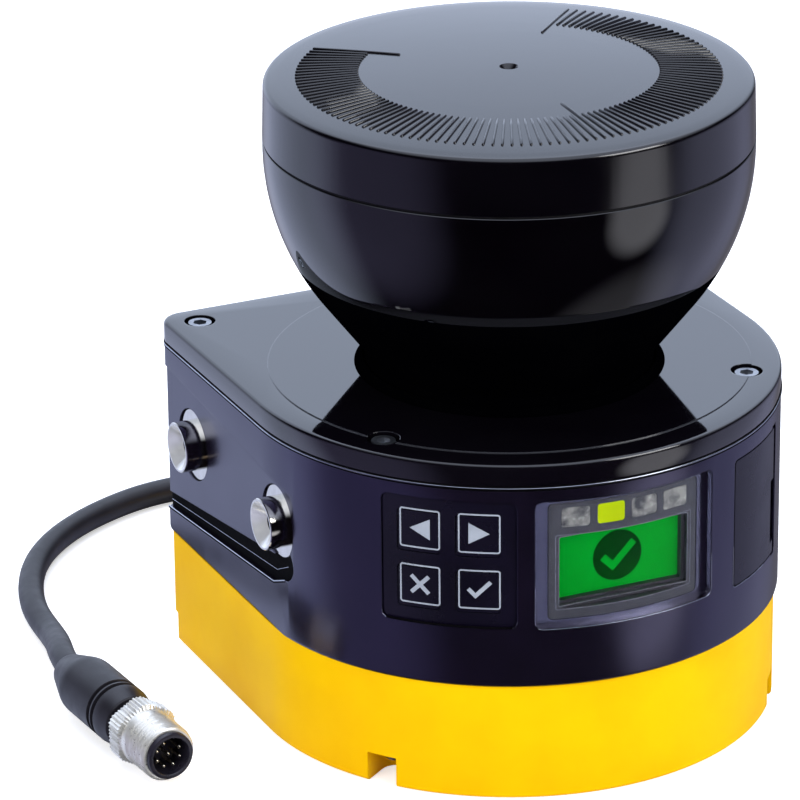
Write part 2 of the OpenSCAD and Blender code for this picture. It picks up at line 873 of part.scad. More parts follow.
// Clear pane, curved like the housing's front
module display_window() {
  color(c_glass, 0.35)
    curved_plate(0, window_mid_z, window_w - 0.3, window_h - 0.3, 1.5, pane_r, pane_r - pane_t);
}

// Places of the status lamps, numbered from the left
module at_lens(i) {
  translate([(i - 1.5) * lens_pitch, 0, lens_row_z])
    children();
}

// Black frame behind the pane: a stepped funnel round the screen and four lamp wells
module display_frame() {
  color(c_rubber)
    difference() {
      intersection() {
        translate([0, 0, window_mid_z])
          forward_block(frame_w, frame_h, 0.8, display_back_r, body_r);
        cylinder(r = pane_r - pane_t - glass_gap, h = cover_z, $fn = fn_large);
      }
      for (i = [0:3])
        at_lens(i)
          forward_block(lens_w + 0.1, lens_h + 0.1, 0.6, body_r / 2, body_r);
      for (i = [0:2])
        translate([0, 0, lcd_mid_z])
          forward_block(lcd_w + 0.1 + i * 1.4, lcd_h + 0.1 + i * 1.1, 0.4,
            i == 0 ? body_r / 2 : lcd_front_r + i * 1.3, body_r);
    }
}

module display_screen() {
  color(c_green)
    translate([0, 0, lcd_mid_z])
      forward_block(lcd_w, lcd_h, 0.3, display_back_r, lcd_front_r);
}

// Light guide of one status lamp, its face curved like the pane
module status_lens(i) {
  intersection() {
    at_lens(i)
      forward_block(lens_w, lens_h, 0.6, display_back_r, body_r);
    cylinder(r = pane_r - pane_t - glass_gap, h = cover_z, $fn = fn_large);
  }
}

// The three lamps that are dark
module status_lenses() {
  color("#9a9ca0")
    for (i = [0, 2, 3])
      status_lens(i);
}

// The lamp that is lit
module status_lens_lit() {
  color("#c9dd1e")
    status_lens(1);
}

module display_board() {
  color(c_board)
    translate([0, 0, window_mid_z])
      forward_block(frame_w + 3 * display_pad_w, frame_h, 1, display_back_r - board_t, display_back_r);
  color(c_rubber)
    translate([0, 0, window_mid_z - 2])
      forward_block(14, 6, 0.3, display_back_r - board_t - 2, display_back_r - board_t + eps);
}

// ---------------------------------------------------------------- service flap

knuckle_low_h = 2.5;
knuckle_gap_h = 2.4;
knuckle_top_h = 11;
knuckle_step = 0.2;

// Curved flap with a low and a high knuckle round the hinge pin
module service_flap() {
  z0 = flap_mid_z - flap_h / 2 + part_gap;
  z1 = flap_mid_z + flap_h / 2 - part_gap;
  color(c_satin)
    difference() {
      union() {
        intersection() {
          curved_plate(flap_az, flap_mid_z, flap_w - 2 * part_gap, flap_h - 2 * part_gap, 0.8,
            body_r, body_r - flap_t);
          rotate([0, 0, pin_az])
            translate([-body_r, -body_r - 1, 0])
              cube([body_r, body_r, cover_z]);
        }
        for (z = [[z0 + knuckle_step, z0 + knuckle_low_h], [z1 - knuckle_top_h, z1 - knuckle_step]])
          rotate([0, 0, pin_az])
            translate([0, -pin_at_r, z[0]])
              cylinder(r = flap_knuckle_r, h = z[1] - z[0], $fn = fn_small);
      }
      rotate([0, 0, pin_az])
        translate([0, -pin_at_r, z0 - 1])
          cylinder(r = hinge_pin_r + run_gap, h = flap_h + 2, $fn = fn_small);
      rotate([0, 0, pin_az])
        translate([-flap_knuckle_r - part_gap, -body_r - 1, z0 + knuckle_low_h])
          cube([body_r, 6, z1 - z0 - knuckle_low_h - knuckle_top_h]);
    }
}

module flap_pin() {
  color(c_steel)
    rotate([0, 0, pin_az])
      translate([0, -pin_at_r, flap_mid_z - flap_h / 2 - pin_reach])
        cylinder(r = hinge_pin_r - 0.01, h = flap_h + 2 * pin_reach, $fn = fn_small);
}

// Small upright connector at the bottom of the port's pocket
module service_socket() {
  socket_w = 4.4;
  socket_h = 9;
  shell_t = 0.4;
  color(c_steel)
    difference() {
      translate([port_x, 0, port_z])
        forward_block(socket_w, socket_h, 0.6, port_floor_y, port_floor_y + 5);
      translate([port_x, 0, port_z])
        forward_block(socket_w - 2 * shell_t, socket_h - 2 * shell_t, 0.4, port_floor_y + 1, body_r);
    }
  color(c_rubber)
    translate([port_x, 0, port_z])
      forward_block(1.2, socket_h - 2.5, 0.2, port_floor_y + 0.5, port_floor_y + 4.5);
}

// ---------------------------------------------------------------- cable and plug

relief_len = 10;
gland_h = 4;

// Hexagonal gland screwed into the rear wall
module cable_gland() {
  color(c_rubber)
    translate([gland_x, body_back - wall_t, gland_z])
      rotate([-90, 0, 0])
        difference() {
          union() {
            cylinder(r = gland_bore_r - 0.02, h = wall_t + 1, $fn = fn_small);
            translate([0, 0, wall_t])
              cylinder(r = gland_r, h = gland_h, $fn = 6);
          }
          translate([0, 0, -1])
            cylinder(r = cable_d / 2 + 0.5, h = wall_t + gland_h + 2, $fn = fn_small);
        }
}

// Tapered rubber sleeve that eases the cable's bend
module strain_relief() {
  color(c_rubber)
    translate([gland_x, body_back - wall_t, gland_z])
      rotate([-90, 0, 0])
        difference() {
          union() {
            cylinder(r = cable_d / 2 + 0.5 - 0.02, h = wall_t + gland_h, $fn = fn_small);
            translate([0, 0, wall_t + gland_h])
              cylinder(r1 = cable_d / 2 + 1.8, r2 = cable_d / 2 + 0.5, h = relief_len, $fn = fn_small);
          }
          translate([0, 0, -1])
            cylinder(r = cable_d / 2 + 0.1, h = wall_t + gland_h + relief_len + 2, $fn = fn_small);
        }
}

// Route of the cable's centre line: out of the gland, down to the floor, round to the plug
plug_rear = [-87.3, 31.4, 7.1];
plug_turn = 4.5;
lay_z = cable_d / 2 + 0.1;
cable_route = [[gland_x, body_back - wall_t, gland_z], [gland_x, body_back + 5, gland_z],
  [gland_x, body_back + 15, gland_z], [31.6, 80.4, 30.4], [29.6, 89.8, 23.4], [25.6, 97.6, 15.2],
  [19.2, 104.2, 7.8], [10.4, 110, 3.6], [-0.2, 114.6, lay_z], [-11.4, 118, lay_z],
  [-23, 119.6, lay_z], [-34.6, 119, lay_z], [-45.6, 115.2, lay_z], [-56, 109.4, lay_z],
  [-65, 101.6, lay_z], [-72, 92.2, lay_z], [-77, 81.2, lay_z], [-80, 70, lay_z],
  [-81.2, 58.4, 3.3], [-83.2, 48.6, 5.2], [-85.8, 39.4, 6.8], [-87.2, 29.6, 7.1]];
cable_sides = 10;

// Smooth curve through the route's points, two steps to a span
function spline(p, i, t) =
  let (a = p[max(i - 1, 0)], b = p[i], c = p[i + 1], d = p[min(i + 2, len(p) - 1)])
    0.5 * (2 * b + (c - a) * t + (2 * a - 5 * b + 4 * c - d) * t * t
      + (3 * b - a - 3 * c + d) * t * t * t);
cable_line = concat(
  [for (i = [0:len(cable_route) - 2], t = [0, 0.5]) spline(cable_route, i, t)],
  [cable_route[len(cable_route) - 1]]);
function unit(v) = v / norm(v);
function heading(p, i) = unit(p[min(i + 1, len(p) - 1)] - p[max(i - 1, 0)]);
function ring_points(p, i, r, sides) =
  let (h = heading(p, i), u = unit(cross(h, [0, 0, 1])), v = cross(u, h))
    [for (k = [0:sides - 1]) p[i] + r * (cos(360 * k / sides) * u + sin(360 * k / sides) * v)];

module tube(p, r, sides) {
  rings = len(p);
  polyhedron(
    points = [for (i = [0:rings - 1]) each ring_points(p, i, r, sides)],
    faces = concat(
      [[for (k = [0:sides - 1]) k]],
      [for (i = [0:rings - 2], k = [0:sides - 1])
        [i * sides + k, (i + 1) * sides + k, (i + 1) * sides + (k + 1) % sides,
         i * sides + (k + 1) % sides]],
      [[for (k = [sides - 1:-1:0]) (rings - 1) * sides + k]]));
}

module cable() {
  color(c_rubber)
    tube(cable_line, cable_d / 2, cable_sides);
}

// Stations along the plug, from its cable end to its face
plug_shoulder = 9;
plug_groove_at = 21;
plug_collar_at = 25;
plug_neck_at = 29;
plug_hex_at = 31.5;
plug_thread_at = 36.5;
plug_face_at = 46;
plug_tip = 1.2;
plug_neck_r = 4.4;
plug_hex_r = 7.1;
plug_tube_r = 5;
plug_mouth_r = 4;
plug_mouth_depth = 6;

// Frame of the plug: Z runs from the cable to the face
module at_plug() {
  translate(plug_rear)
    rotate([0, 0, plug_turn])
      rotate([90, 0, 0])
        children();
}

// Moulded body of the plug, with a rounded shoulder, grip grooves and a slim neck
module plug_body() {
  color(c_rubber)
    at_plug()
      difference() {
        rotate_extrude($fn = fn_small)
          polygon(concat(
            [[0, 0], [cable_d / 2 + 0.6, 0], [cable_d / 2 + 0.9, 2.5]],
            arc(plug_body_r - 3, plug_shoulder, 3, -60, 0),
            [[plug_body_r, plug_groove_at], [plug_body_r - 0.7, plug_groove_at + 0.2],
             [plug_body_r - 0.7, plug_groove_at + 1], [plug_body_r - 0.1, plug_groove_at + 1.2],
             [plug_body_r - 0.1, plug_groove_at + 2], [plug_body_r - 0.7, plug_groove_at + 2.2],
             [plug_body_r - 0.7, plug_groove_at + 3], [plug_body_r, plug_groove_at + 3.2],
             [plug_body_r, plug_collar_at], [plug_body_r - 0.8, plug_neck_at],
             [plug_neck_r, plug_neck_at], [plug_neck_r, plug_thread_at], [0, plug_thread_at]]));
        translate([0, 0, -1])
          cylinder(r = cable_d / 2 + 0.1, h = 4, $fn = fn_small);
        translate([0, 0, -eps])
          cylinder(r1 = cable_d / 2 + 0.5, r2 = cable_d / 2, h = 2.4, $fn = fn_small);
      }
}

// Coupling sleeve: a knurled hexagon and the threaded barrel, turning on the plug's neck
module plug_sleeve() {
  bore_r = plug_neck_r + run_gap;
  color(c_steel)
    at_plug()
      difference() {
        union() {
          intersection() {
            translate([0, 0, plug_hex_at])
              cylinder(r = plug_hex_r + 0.5, h = plug_thread_at - plug_hex_at, $fn = 6);
            translate([0, 0, plug_neck_at])
              cylinder(r = plug_hex_r, h = plug_face_at, $fn = fn_small);
          }
          translate([0, 0, plug_thread_at - eps])
            cylinder(r = plug_thread_r, h = plug_face_at - plug_thread_at, $fn = fn_small);
        }
        translate([0, 0, plug_neck_at - 1])
          cylinder(r = bore_r, h = plug_thread_at - plug_neck_at + 1, $fn = fn_small);
        translate([0, 0, plug_thread_at - eps])
          cylinder(r = plug_tube_r + run_gap, h = plug_face_at, $fn = fn_small);
      }
}

// Insulating insert: a tube round the pins, closed behind them
module plug_insert() {
  color(c_rubber)
    at_plug()
      difference() {
        translate([0, 0, plug_thread_at])
          cylinder(r = plug_tube_r, h = plug_face_at + plug_tip - plug_thread_at, $fn = fn_small);
        translate([0, 0, plug_face_at + plug_tip - plug_mouth_depth])
          cylinder(r = plug_mouth_r, h = plug_mouth_depth + 1, $fn = fn_small);
        at_pins()
          cylinder(r = pin_r, h = plug_face_at, $fn = 16);
      }
}

pin_r = 0.4;
pin_circle_r = 2.75;
module at_pins() {
  for (i = [0:6])
    rotate([0, 0, 112 + i * 360 / 8])
      translate([pin_circle_r, 0, plug_thread_at + 1])
        children();
  translate([0, 0, plug_thread_at + 1])
    children();
}

// Eight contact pins: seven on a circle, one in the centre
module plug_pins() {
  color("#d8b860")
    at_plug()
      at_pins()
        cylinder(r = pin_r, h = plug_face_at + plug_tip - 1.2 - plug_thread_at - 1, $fn = 16);
}

// ---------------------------------------------------------------- inside the housing

// Sizes and places of the main board's blocks
processor_size = [16, 16, 2];
driver_size = [12, 12, 1.6];
driver_x = -36;
connector_size = [8, 16, 6];
connector_x = 24;
module main_board() {
  board_z = housing_z + floor_t + post_h;
  top = board_z + board_t - eps;
  color(c_board)
    d_board(board_z, wall_t + 14, boss_r + 1);
  color(c_rubber) {
    translate([-processor_size[0] / 2, -processor_size[1] / 2, top])
      cube(processor_size);
    translate([driver_x, -driver_size[1] / 2, top])
      cube(driver_size);
    translate([connector_x, -connector_size[1] / 2, top])
      cube(connector_size);
  }
}

holder_r = foot_r - 8;
holder_h = 12;
holder_z = deck_z - 14;
holder_wall = 3;
holder_foot_r = 2;
lens_seat = 7;
laser_r = 4;
module at_holder_feet(z) {
  for (a = [30, 150, 270])
    rotate([0, 0, a])
      translate([holder_r - holder_foot_r - 0.5, 0, z])
        children();
}

// Funnel that carries the receiver lens, on three feet
module lens_holder() {
  foot_z = housing_z + floor_t + post_h + board_t;
  color(c_satin) {
    difference() {
      translate([0, 0, holder_z])
        cylinder(r = holder_r, h = holder_h, $fn = fn_large);
      translate([0, 0, holder_z - 1])
        cylinder(r = holder_r - holder_wall, h = holder_h, $fn = fn_large);
      translate([0, 0, holder_z + lens_seat])
        cylinder(r = holder_r - holder_wall / 2, h = holder_h, $fn = fn_large);
    }
    at_holder_feet(foot_z)
      cylinder(r = holder_foot_r, h = holder_z - foot_z + 1, $fn = fn_small);
  }
}

// Receiver lens with a domed upper face and a bore for the laser module
module receiver_lens() {
  lens_r = holder_r - holder_wall / 2 - run_gap;
  bore_r = laser_r + run_gap;
  color(c_glass, 0.5)
    translate([0, 0, holder_z + lens_seat])
      rotate_extrude($fn = fn_large)
        polygon(concat([[bore_r, 0], [lens_r, 0]],
          [for (i = [0:8])
            let (r = lens_r + (bore_r - lens_r) * i / 8)
              [r, 2 + 4.5 * (1 - r * r / (lens_r * lens_r))]]));
}

// Laser tube that stands on the receiver board and shines up through the lens
module laser_module() {
  color(c_steel)
    translate([0, 0, holder_z])
      difference() {
        cylinder(r = laser_r, h = 17, $fn = fn_small);
        translate([0, 0, 13])
          cylinder(r = laser_r - 1.5, h = 5, $fn = fn_small);
      }
}

// Round board under the lens holder, notched round its feet
module receiver_board() {
  color(c_board)
    difference() {
      translate([0, 0, holder_z - board_t])
        cylinder(r = holder_r - 0.5, h = board_t, $fn = fn_large);
      at_holder_feet(holder_z - board_t - 1)
        cylinder(r = holder_foot_r + part_gap, h = board_t + 2, $fn = fn_small);
    }
  color(c_rubber)
    translate([8, -3, holder_z - eps])
      cube([6, 6, 2]);
}

// ---------------------------------------------------------------- scanning motor

motor_r = 19;
motor_h = 12;
bell_h = 10.5;
bell_floor = 1.2;
shaft_r = 2.5;
bearing_r = 6.5;
bearing_h = 4;
hub_r = bearing_r + 2;
rotor_r = 15;
rotor_z = deck_z + 8.5;
rotor_h = 24;
rotor_bore = 4;
mirror_t = 1.5;
mirror_z = rotor_z + rotor_h / 2 - 3;

// Bracket let into the optics cover's upper edge, with the hub that holds both bearings
module motor_bracket() {
  color(c_satin)
    difference() {
      union() {
        translate([0, 0, bracket_z])
          cylinder(r = head_r - bracket_lip - 0.05, h = bracket_t, $fn = fn_large);
        translate([0, 0, cap_z - motor_h])
          cylinder(r = hub_r, h = motor_h, $fn = fn_small);
      }
      translate([0, 0, bracket_z - motor_h])
        cylinder(r = bearing_r, h = 2 * motor_h, $fn = fn_small);
      for (a = [0:60:300])
        rotate([0, 0, a])
          translate([32, 0, bracket_z - 1])
            cylinder(r = 8, h = bracket_t + 2, $fn = fn_small);
    }
}

// Two ball bearings, drawn as closed rings
module motor_bearings() {
  color(c_steel)
    for (z = [cap_z - motor_h, cap_z - bearing_h])
      translate([0, 0, z])
        difference() {
          cylinder(r = bearing_r, h = bearing_h, $fn = fn_small);
          translate([0, 0, -1])
            cylinder(r = shaft_r + run_gap, h = bearing_h + 2, $fn = fn_small);
        }
}

// Wound stator on the hub: a back ring with nine poles
module motor_stator() {
  color("#8a5a2b")
    translate([0, 0, bracket_z - 7.5])
      difference() {
        union() {
          cylinder(r = hub_r + 2, h = 6, $fn = fn_small);
          for (i = [0:8])
            rotate([0, 0, i * 40])
              translate([hub_r + 1, -2, 1])
                cube([motor_r - hub_r - 4.2, 4, 4]);
        }
        translate([0, 0, -1])
          cylinder(r = hub_r, h = 8, $fn = fn_small);
      }
}

// Turning shaft with the motor's magnet bell
module rotor_shaft() {
  bell_z = bracket_z - 1 - bell_h;
  shaft_z = rotor_z + rotor_h - rotor_bore;
  color(c_steel)
    union() {
      translate([0, 0, shaft_z])
        cylinder(r = shaft_r, h = cap_z + 2 - shaft_z, $fn = fn_small);
      difference() {
        translate([0, 0, bell_z])
          cylinder(r = motor_r, h = bell_h, $fn = fn_large);
        translate([0, 0, bell_z + bell_floor])
          cylinder(r = motor_r - 2.2, h = bell_h, $fn = fn_large);
      }
      translate([0, 0, bell_z])
        cylinder(r = shaft_r, h = bell_h, $fn = fn_small);
    }
}

// Cylinder cut at 45 degrees that carries the mirror
module mirror_carrier() {
  color(c_satin)
    difference() {
      translate([0, 0, rotor_z])
        cylinder(r = rotor_r, h = rotor_h, $fn = fn_large);
      mirror_block(4 * rotor_r);
      translate([0, 0, rotor_z + rotor_h - rotor_bore])
        cylinder(r = shaft_r, h = rotor_bore + 1, $fn = fn_small);
    }
}

// Block below the mirror's plane, of the given thickness
module mirror_block(t) {
  translate([0, 0, mirror_z])
    rotate([45, 0, 0])
      translate([-2 * rotor_r, -2 * rotor_r, -t])
        cube([4 * rotor_r, 4 * rotor_r, t]);
}

module scan_mirror() {
  color("#dfe6ee")
    intersection() {
      mirror_block(mirror_t);
      translate([0, 0, rotor_z - rotor_h])
        cylinder(r = rotor_r - 0.5, h = 3 * rotor_h, $fn = fn_large);
    }
}

// Code disc with a ring of slots, on top of the mirror carrier
module encoder_disc() {
  disc_z = rotor_z + rotor_h;
  color(c_steel)
    difference() {
      translate([0, 0, disc_z])
        cylinder(r = rotor_r + 6, h = 1, $fn = fn_large);
      translate([0, 0, disc_z - 1])
        cylinder(r = shaft_r, h = 3, $fn = fn_small);
      for (i = [0:35])
        rotate([0, 0, i * 10])
          translate([rotor_r + 2.5, -0.5, disc_z - 1])
            cube([2.5, 1, 3]);
    }
}

base_casting();
base_seal();
base_screws();
terminal_board();
housing();
cover_seal();
cover_plate();
cover_screws();
clamp_ring();
clamp_screws();
foot_seal();
optics_cover();
cap_seal();
optics_cap();
side_bushes_left();
side_bushes_right();
rear_bushes();
keypad_panel();
key_left();
key_right();
key_cancel();
key_confirm();
key_switches();
display_window();
display_frame();
display_screen();
status_lenses();
status_lens_lit();
display_board();
service_flap();
flap_pin();
service_socket();
cable_gland();
strain_relief();
cable();
plug_body();
plug_sleeve();
plug_insert();
plug_pins();
main_board();
motor_bracket();
motor_stator();
motor_bearings();
rotor_shaft();
mirror_carrier();
scan_mirror();
encoder_disc();
lens_holder();
receiver_lens();
laser_module();
receiver_board();
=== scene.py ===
# %% [markdown]
# # A safety laser scanner, dressed for the camera
#
# The scanner comes as a imported model in which every part already has its place. This lesson loads
# it as a fixed frame, keeps the parts whose shape is right, and rebuilds the ones that the eye
# rests on: the flared head, the ribbed cap, the turned metal and the cable. Fine things are added
# to the others: printed keys, the screen's sign, bright beads of painted highlight on the edges, and
# dark lines and sheets of painted shade. Lengths are written in millimetres and turned to metres
# once, in the helpers.

# %% Load the fixed frame
import json
import bpy
import numpy as np
from math import radians, degrees, pi
from mathutils import Matrix, Vector


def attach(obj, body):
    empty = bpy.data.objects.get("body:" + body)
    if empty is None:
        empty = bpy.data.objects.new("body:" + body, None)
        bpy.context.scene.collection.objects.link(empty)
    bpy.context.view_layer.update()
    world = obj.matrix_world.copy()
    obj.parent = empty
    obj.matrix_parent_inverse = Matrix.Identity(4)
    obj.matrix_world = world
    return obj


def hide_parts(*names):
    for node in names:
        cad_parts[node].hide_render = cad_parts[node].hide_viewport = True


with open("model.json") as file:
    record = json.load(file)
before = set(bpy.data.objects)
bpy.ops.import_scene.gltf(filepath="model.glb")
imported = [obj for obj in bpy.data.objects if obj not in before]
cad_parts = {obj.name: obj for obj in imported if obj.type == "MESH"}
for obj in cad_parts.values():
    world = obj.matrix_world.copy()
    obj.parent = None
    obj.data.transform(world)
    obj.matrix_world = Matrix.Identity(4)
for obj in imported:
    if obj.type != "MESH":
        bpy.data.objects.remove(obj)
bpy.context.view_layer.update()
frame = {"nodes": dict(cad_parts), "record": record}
nodes = frame["nodes"]
MM = 0.001
print("parts in the frame:", len(nodes))

# %% [markdown]
# ## Where the camera stands
#
# A product shot like this is taken with a long lens from above and to the left, so that the sides
# stay nearly parallel. The camera is given by the point it looks at, its direction round the
# object, its height angle and its distance. The picture is turned by half a degree, as if the
# tripod hadn't been quite level.

# %% Camera
CAMERA_TURN, CAMERA_RISE, CAMERA_ROLL = radians(25.794), radians(21.910), radians(-0.592)
CAMERA_DISTANCE = 1080.24
LOOK_SIDE, LOOK_UP, LOOK_LEVEL = -22.544, -9.123, 74.1
LENS_MM = 235.95


def camera_axes(turn, rise):
    """Unit vectors from the object to the camera, to its right and up."""
    back = Vector((-np.sin(turn) * np.cos(rise), -np.cos(turn) * np.cos(rise), np.sin(rise)))
    right = Vector((-back.y, back.x, 0)).normalized()
    return back, right, back.cross(right)


def place_camera():
    """Camera at the distance along the back vector, aimed at a point beside the head's axis."""
    back, right, up = camera_axes(CAMERA_TURN, CAMERA_RISE)
    centre = Vector((0, 0, LOOK_LEVEL * MM))
    eye = centre + CAMERA_DISTANCE * MM * back
    aim = centre + (LOOK_SIDE * right + LOOK_UP * up) * MM
    back = (eye - aim).normalized()
    right = Vector((-back.y, back.x, 0)).normalized()
    up = back.cross(right)
    turned = Matrix.Rotation(CAMERA_ROLL, 3, back)
    camera = bpy.data.cameras.new("camera")
    camera.lens = LENS_MM
    camera.sensor_width = 36
    camera.clip_start, camera.clip_end = 0.01, 20
    view = bpy.data.objects.new("camera", camera)
    axes = Matrix((turned @ right, turned @ up, back)).transposed()
    view.matrix_world = Matrix.Translation(eye) @ axes.to_4x4()
    bpy.context.scene.collection.objects.link(view)
    bpy.context.scene.camera = view
    return view


camera = place_camera()
print("camera at", tuple(round(v / MM) for v in camera.location), "mm")

# %% [markdown]
# ## Surfaces from numpy
#
# Nearly every new piece is one of two things: a profile turned round an axis, or a section
# carried along a path. Both are a grid of points, so one function makes the mesh from the grid
# and the others only work out where its points are.

# %% Meshes from grids
def new_piece(name, points, faces, sharp=35):
    """Object at the origin from points in millimetres, smooth except where faces meet sharply."""
    mesh = bpy.data.meshes.new(name)
    mesh.from_pydata((np.asarray(points, float) * MM).tolist(), [], faces)
    mesh.update()
    mesh.polygons.foreach_set("use_smooth", np.ones(len(mesh.polygons), bool))
    mesh.set_sharp_from_angle(angle=radians(sharp))
    piece = bpy.data.objects.new(name, mesh)
    bpy.context.scene.collection.objects.link(piece)
    return piece


def grid_faces(rows, columns, wrap_rows=False, wrap_columns=False):
    """Quads of a grid numbered row by row: each joins a point to its neighbours in both ways."""
    i = np.arange(rows if wrap_rows else rows - 1)[:, None]
    j = np.arange(columns if wrap_columns else columns - 1)[None, :]
    a = i * columns + j
    b = i * columns + (j + 1) % columns
    c = (i + 1) % rows * columns + (j + 1) % columns
    d = (i + 1) % rows * columns + j
    return np.stack([a, b, c, d], -1).reshape(-1, 4).tolist()


def ring_grid(radius, z, columns):
    """A ring round the z axis for each height z: x = r cos t, y = r sin t. A row of radius has one
    value for the whole ring, or one for each of its columns."""
    t = np.arange(columns) * 2 * pi / columns
    return np.stack([radius * np.cos(t), radius * np.sin(t), z[:, None] + 0 * t], -1)


def lathe_shell(profile, segments=96, at=None, closed=False):
    """Solid of revolution as points and faces. A profile that starts or ends on the axis closes
    there in one point; a closed profile is a ring whose last row joins the first. It runs up the
    outside and down the inside, so that faces look outwards."""
    profile = np.asarray(profile, float)
    starts, ends = abs(profile[0, 0]) < 1e-9, abs(profile[-1, 0]) < 1e-9
    rings = profile[(1 if starts else 0):(len(profile) - 1 if ends else len(profile))]
    points = ring_grid(rings[:, :1], rings[:, 1], segments).reshape(-1, 3)
    faces = grid_faces(len(rings), segments, closed, True)
    if starts:
        first = len(points)
        points = np.vstack([points, [[0, 0, profile[0, 1]]]])
        faces += [(first, (k + 1) % segments, k) for k in range(segments)]
    if ends:
        last = len(points)
        base = (len(rings) - 1) * segments
        points = np.vstack([points, [[0, 0, profile[-1, 1]]]])
        faces += [(last, base + k, base + (k + 1) % segments) for k in range(segments)]
    return (points if at is None else placed(points, at)), faces


def lathe(name, profile, segments=96, at=None, closed=False, sharp=35):
    """One solid of revolution as an object."""
    return new_piece(name, *lathe_shell(profile, segments, at, closed), sharp)


def arc(x, y, radius, first, last, steps=6):
    """Points of a round: centre plus radius times (cos, sin) of evenly spaced angles."""
    t = np.radians(np.linspace(first, last, steps + 1))
    return np.stack([x + radius * np.cos(t), y + radius * np.sin(t)], -1)


def join_shells(shells):
    """Several closed shells as one mesh: each shell's faces are counted on from the one before."""
    points, faces, start = [], [], 0
    for shell_points, shell_faces in shells:
        points.append(np.asarray(shell_points, float).reshape(-1, 3))
        faces += [tuple(v + start for v in face) for face in shell_faces]
        start += len(points[-1])
    return np.vstack(points), faces


def placed(points, at):
    """Points carried by a 4x4 matrix."""
    at = np.array(at)
    return np.asarray(points, float).reshape(-1, 3) @ at[:3, :3].T + at[:3, 3]


def turn(axis, degrees_by):
    """Matrix that turns about an axis through the origin."""
    return Matrix.Rotation(radians(degrees_by), 4, axis)


def shift(x, y, z):
    """Matrix that moves by x, y and z."""
    return Matrix.Translation((x, y, z))


def unit(vectors):
    """Each vector divided by its length."""
    return vectors / np.linalg.norm(vectors, axis=1)[:, None]


def rope(line, across, up, radius, sides, closed=False):
    """Tube along a line: at each point a ring, point + radius * (cos t * across + sin t * up). A
    closed one joins its last ring to its first, an open one gets a face at each end."""
    t = np.arange(sides) * 2 * pi / sides
    rings = line[:, None] + radius * (np.cos(t)[None, :, None] * across[:, None]
                                      + np.sin(t)[None, :, None] * up[:, None])
    faces = grid_faces(len(line), sides, closed, True)
    if not closed:
        faces += [list(range(sides))[::-1],
                  [(len(line) - 1) * sides + k for k in range(sides)]]
    return rings.reshape(-1, 3), faces


def filled(front, back):
    """Thin filled outline: a front face, a back face behind it and a rim between them."""
    n = len(front)
    faces = [list(range(n)), list(range(2 * n - 1, n - 1, -1))]
    faces += [(k, n + k, n + (k + 1) % n, (k + 1) % n) for k in range(n)]
    return np.vstack([front, back]), faces


def rounded_rectangle(width, height, corner, edge):
    """Outline with round corners, counter-clockwise; each side is cut into so many parts."""
    corners = [arc(x * (width / 2 - corner), y * (height / 2 - corner), corner, first, first + 90)
               for x, y, first in ((1, 1, 0), (-1, 1, 90), (-1, -1, 180), (1, -1, 270))]
    line = []
    for this, following in zip(corners, corners[1:] + corners[:1]):
        side = (following[0] - this[-1]) * np.linspace(0, 1, edge + 1)[1:-1, None]
        line += [this, this[-1] + side]
    return np.vstack(line)


def face_middles(piece):
    """Middle of each face of a piece, in millimetres."""
    middle = np.empty(len(piece.data.polygons) * 3)
    piece.data.polygons.foreach_get("center", middle)
    return middle.reshape(-1, 3) / MM


print("quads of 4 rings with 96 points:", len(grid_faces(4, 96, False, True)))

# %% [markdown]
# ## The cable's line
#
# The real one is a short pigtail: a PVC sheath 5.6 mm thick that leaves a gland at the back, drops
# to the table, lies round the side and ends in a moulded plug. A line through a few chosen points
# gives the same route as the part's own. The cable comes before the looks, because its length and
# its bends have to be right first. A mesh tube along the line was chosen over a curve with a
# bevel, because its rings can be kept evenly spaced and its ends closed.

# %% Cable
CABLE_D = 5.6
LAY = CABLE_D / 2 + 0.1
cable_points = np.array([
    (32, 51, 34), (32, 60, 34), (32, 70, 34), (31.6, 80.4, 30.4), (29.6, 89.8, 23.4),
    (25.6, 97.6, 15.2), (19.2, 104.2, 7.8), (10.4, 110, 3.6), (-0.2, 114.6, LAY),
    (-11.4, 118, LAY), (-23, 119.6, LAY), (-34.6, 119, LAY), (-45.6, 115.2, LAY),
    (-56, 109.4, LAY), (-65, 101.6, LAY), (-72, 92.2, LAY), (-77, 81.2, LAY), (-80, 70, LAY),
    (-81.2, 58.4, 3.3), (-83.2, 48.6, 5.2), (-85.8, 39.4, 6.8), (-87.2, 29.6, 7.1)])


def smooth_line(points, steps):
    """Catmull-Rom line: between b and c it blends (a, b, c, d) by cubic weights of t."""
    p = np.vstack([points[:1], points, points[-1:]])
    t = (np.arange(steps) / steps)[None, :, None]
    a, b, c, d = (p[k:len(p) - 3 + k, None, :] for k in range(4))
    line = 0.5 * (2 * b + (c - a) * t + (2 * a - 5 * b + 4 * c - d) * t**2
                  + (3 * b - a - 3 * c + d) * t**3)
    return np.vstack([line.reshape(-1, 3), points[-1:]])


def level_tube(line, radius, sides=24):
    """Tube with its rings square to the line: one axis level, the other square to both."""
    along = unit(np.gradient(line, axis=0))
    side = unit(np.cross(along, (0, 0, 1.0)))
    return rope(line, side, -np.cross(side, along), radius, sides)


def eased(line, passes):
    """Each inner point moves to the mean of itself and its neighbours, (a + 2 b + c) / 4."""
    for _ in range(passes):
        line = np.vstack([line[:1], (line[:-2] + 2 * line[1:-1] + line[2:]) / 4, line[-1:]])
    return line


cable_line = eased(smooth_line(cable_points, 8), 12)
cable = new_piece("cable_sheath", *level_tube(cable_line, CABLE_D / 2), 60)
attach(cable, "scanner")
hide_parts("cable")

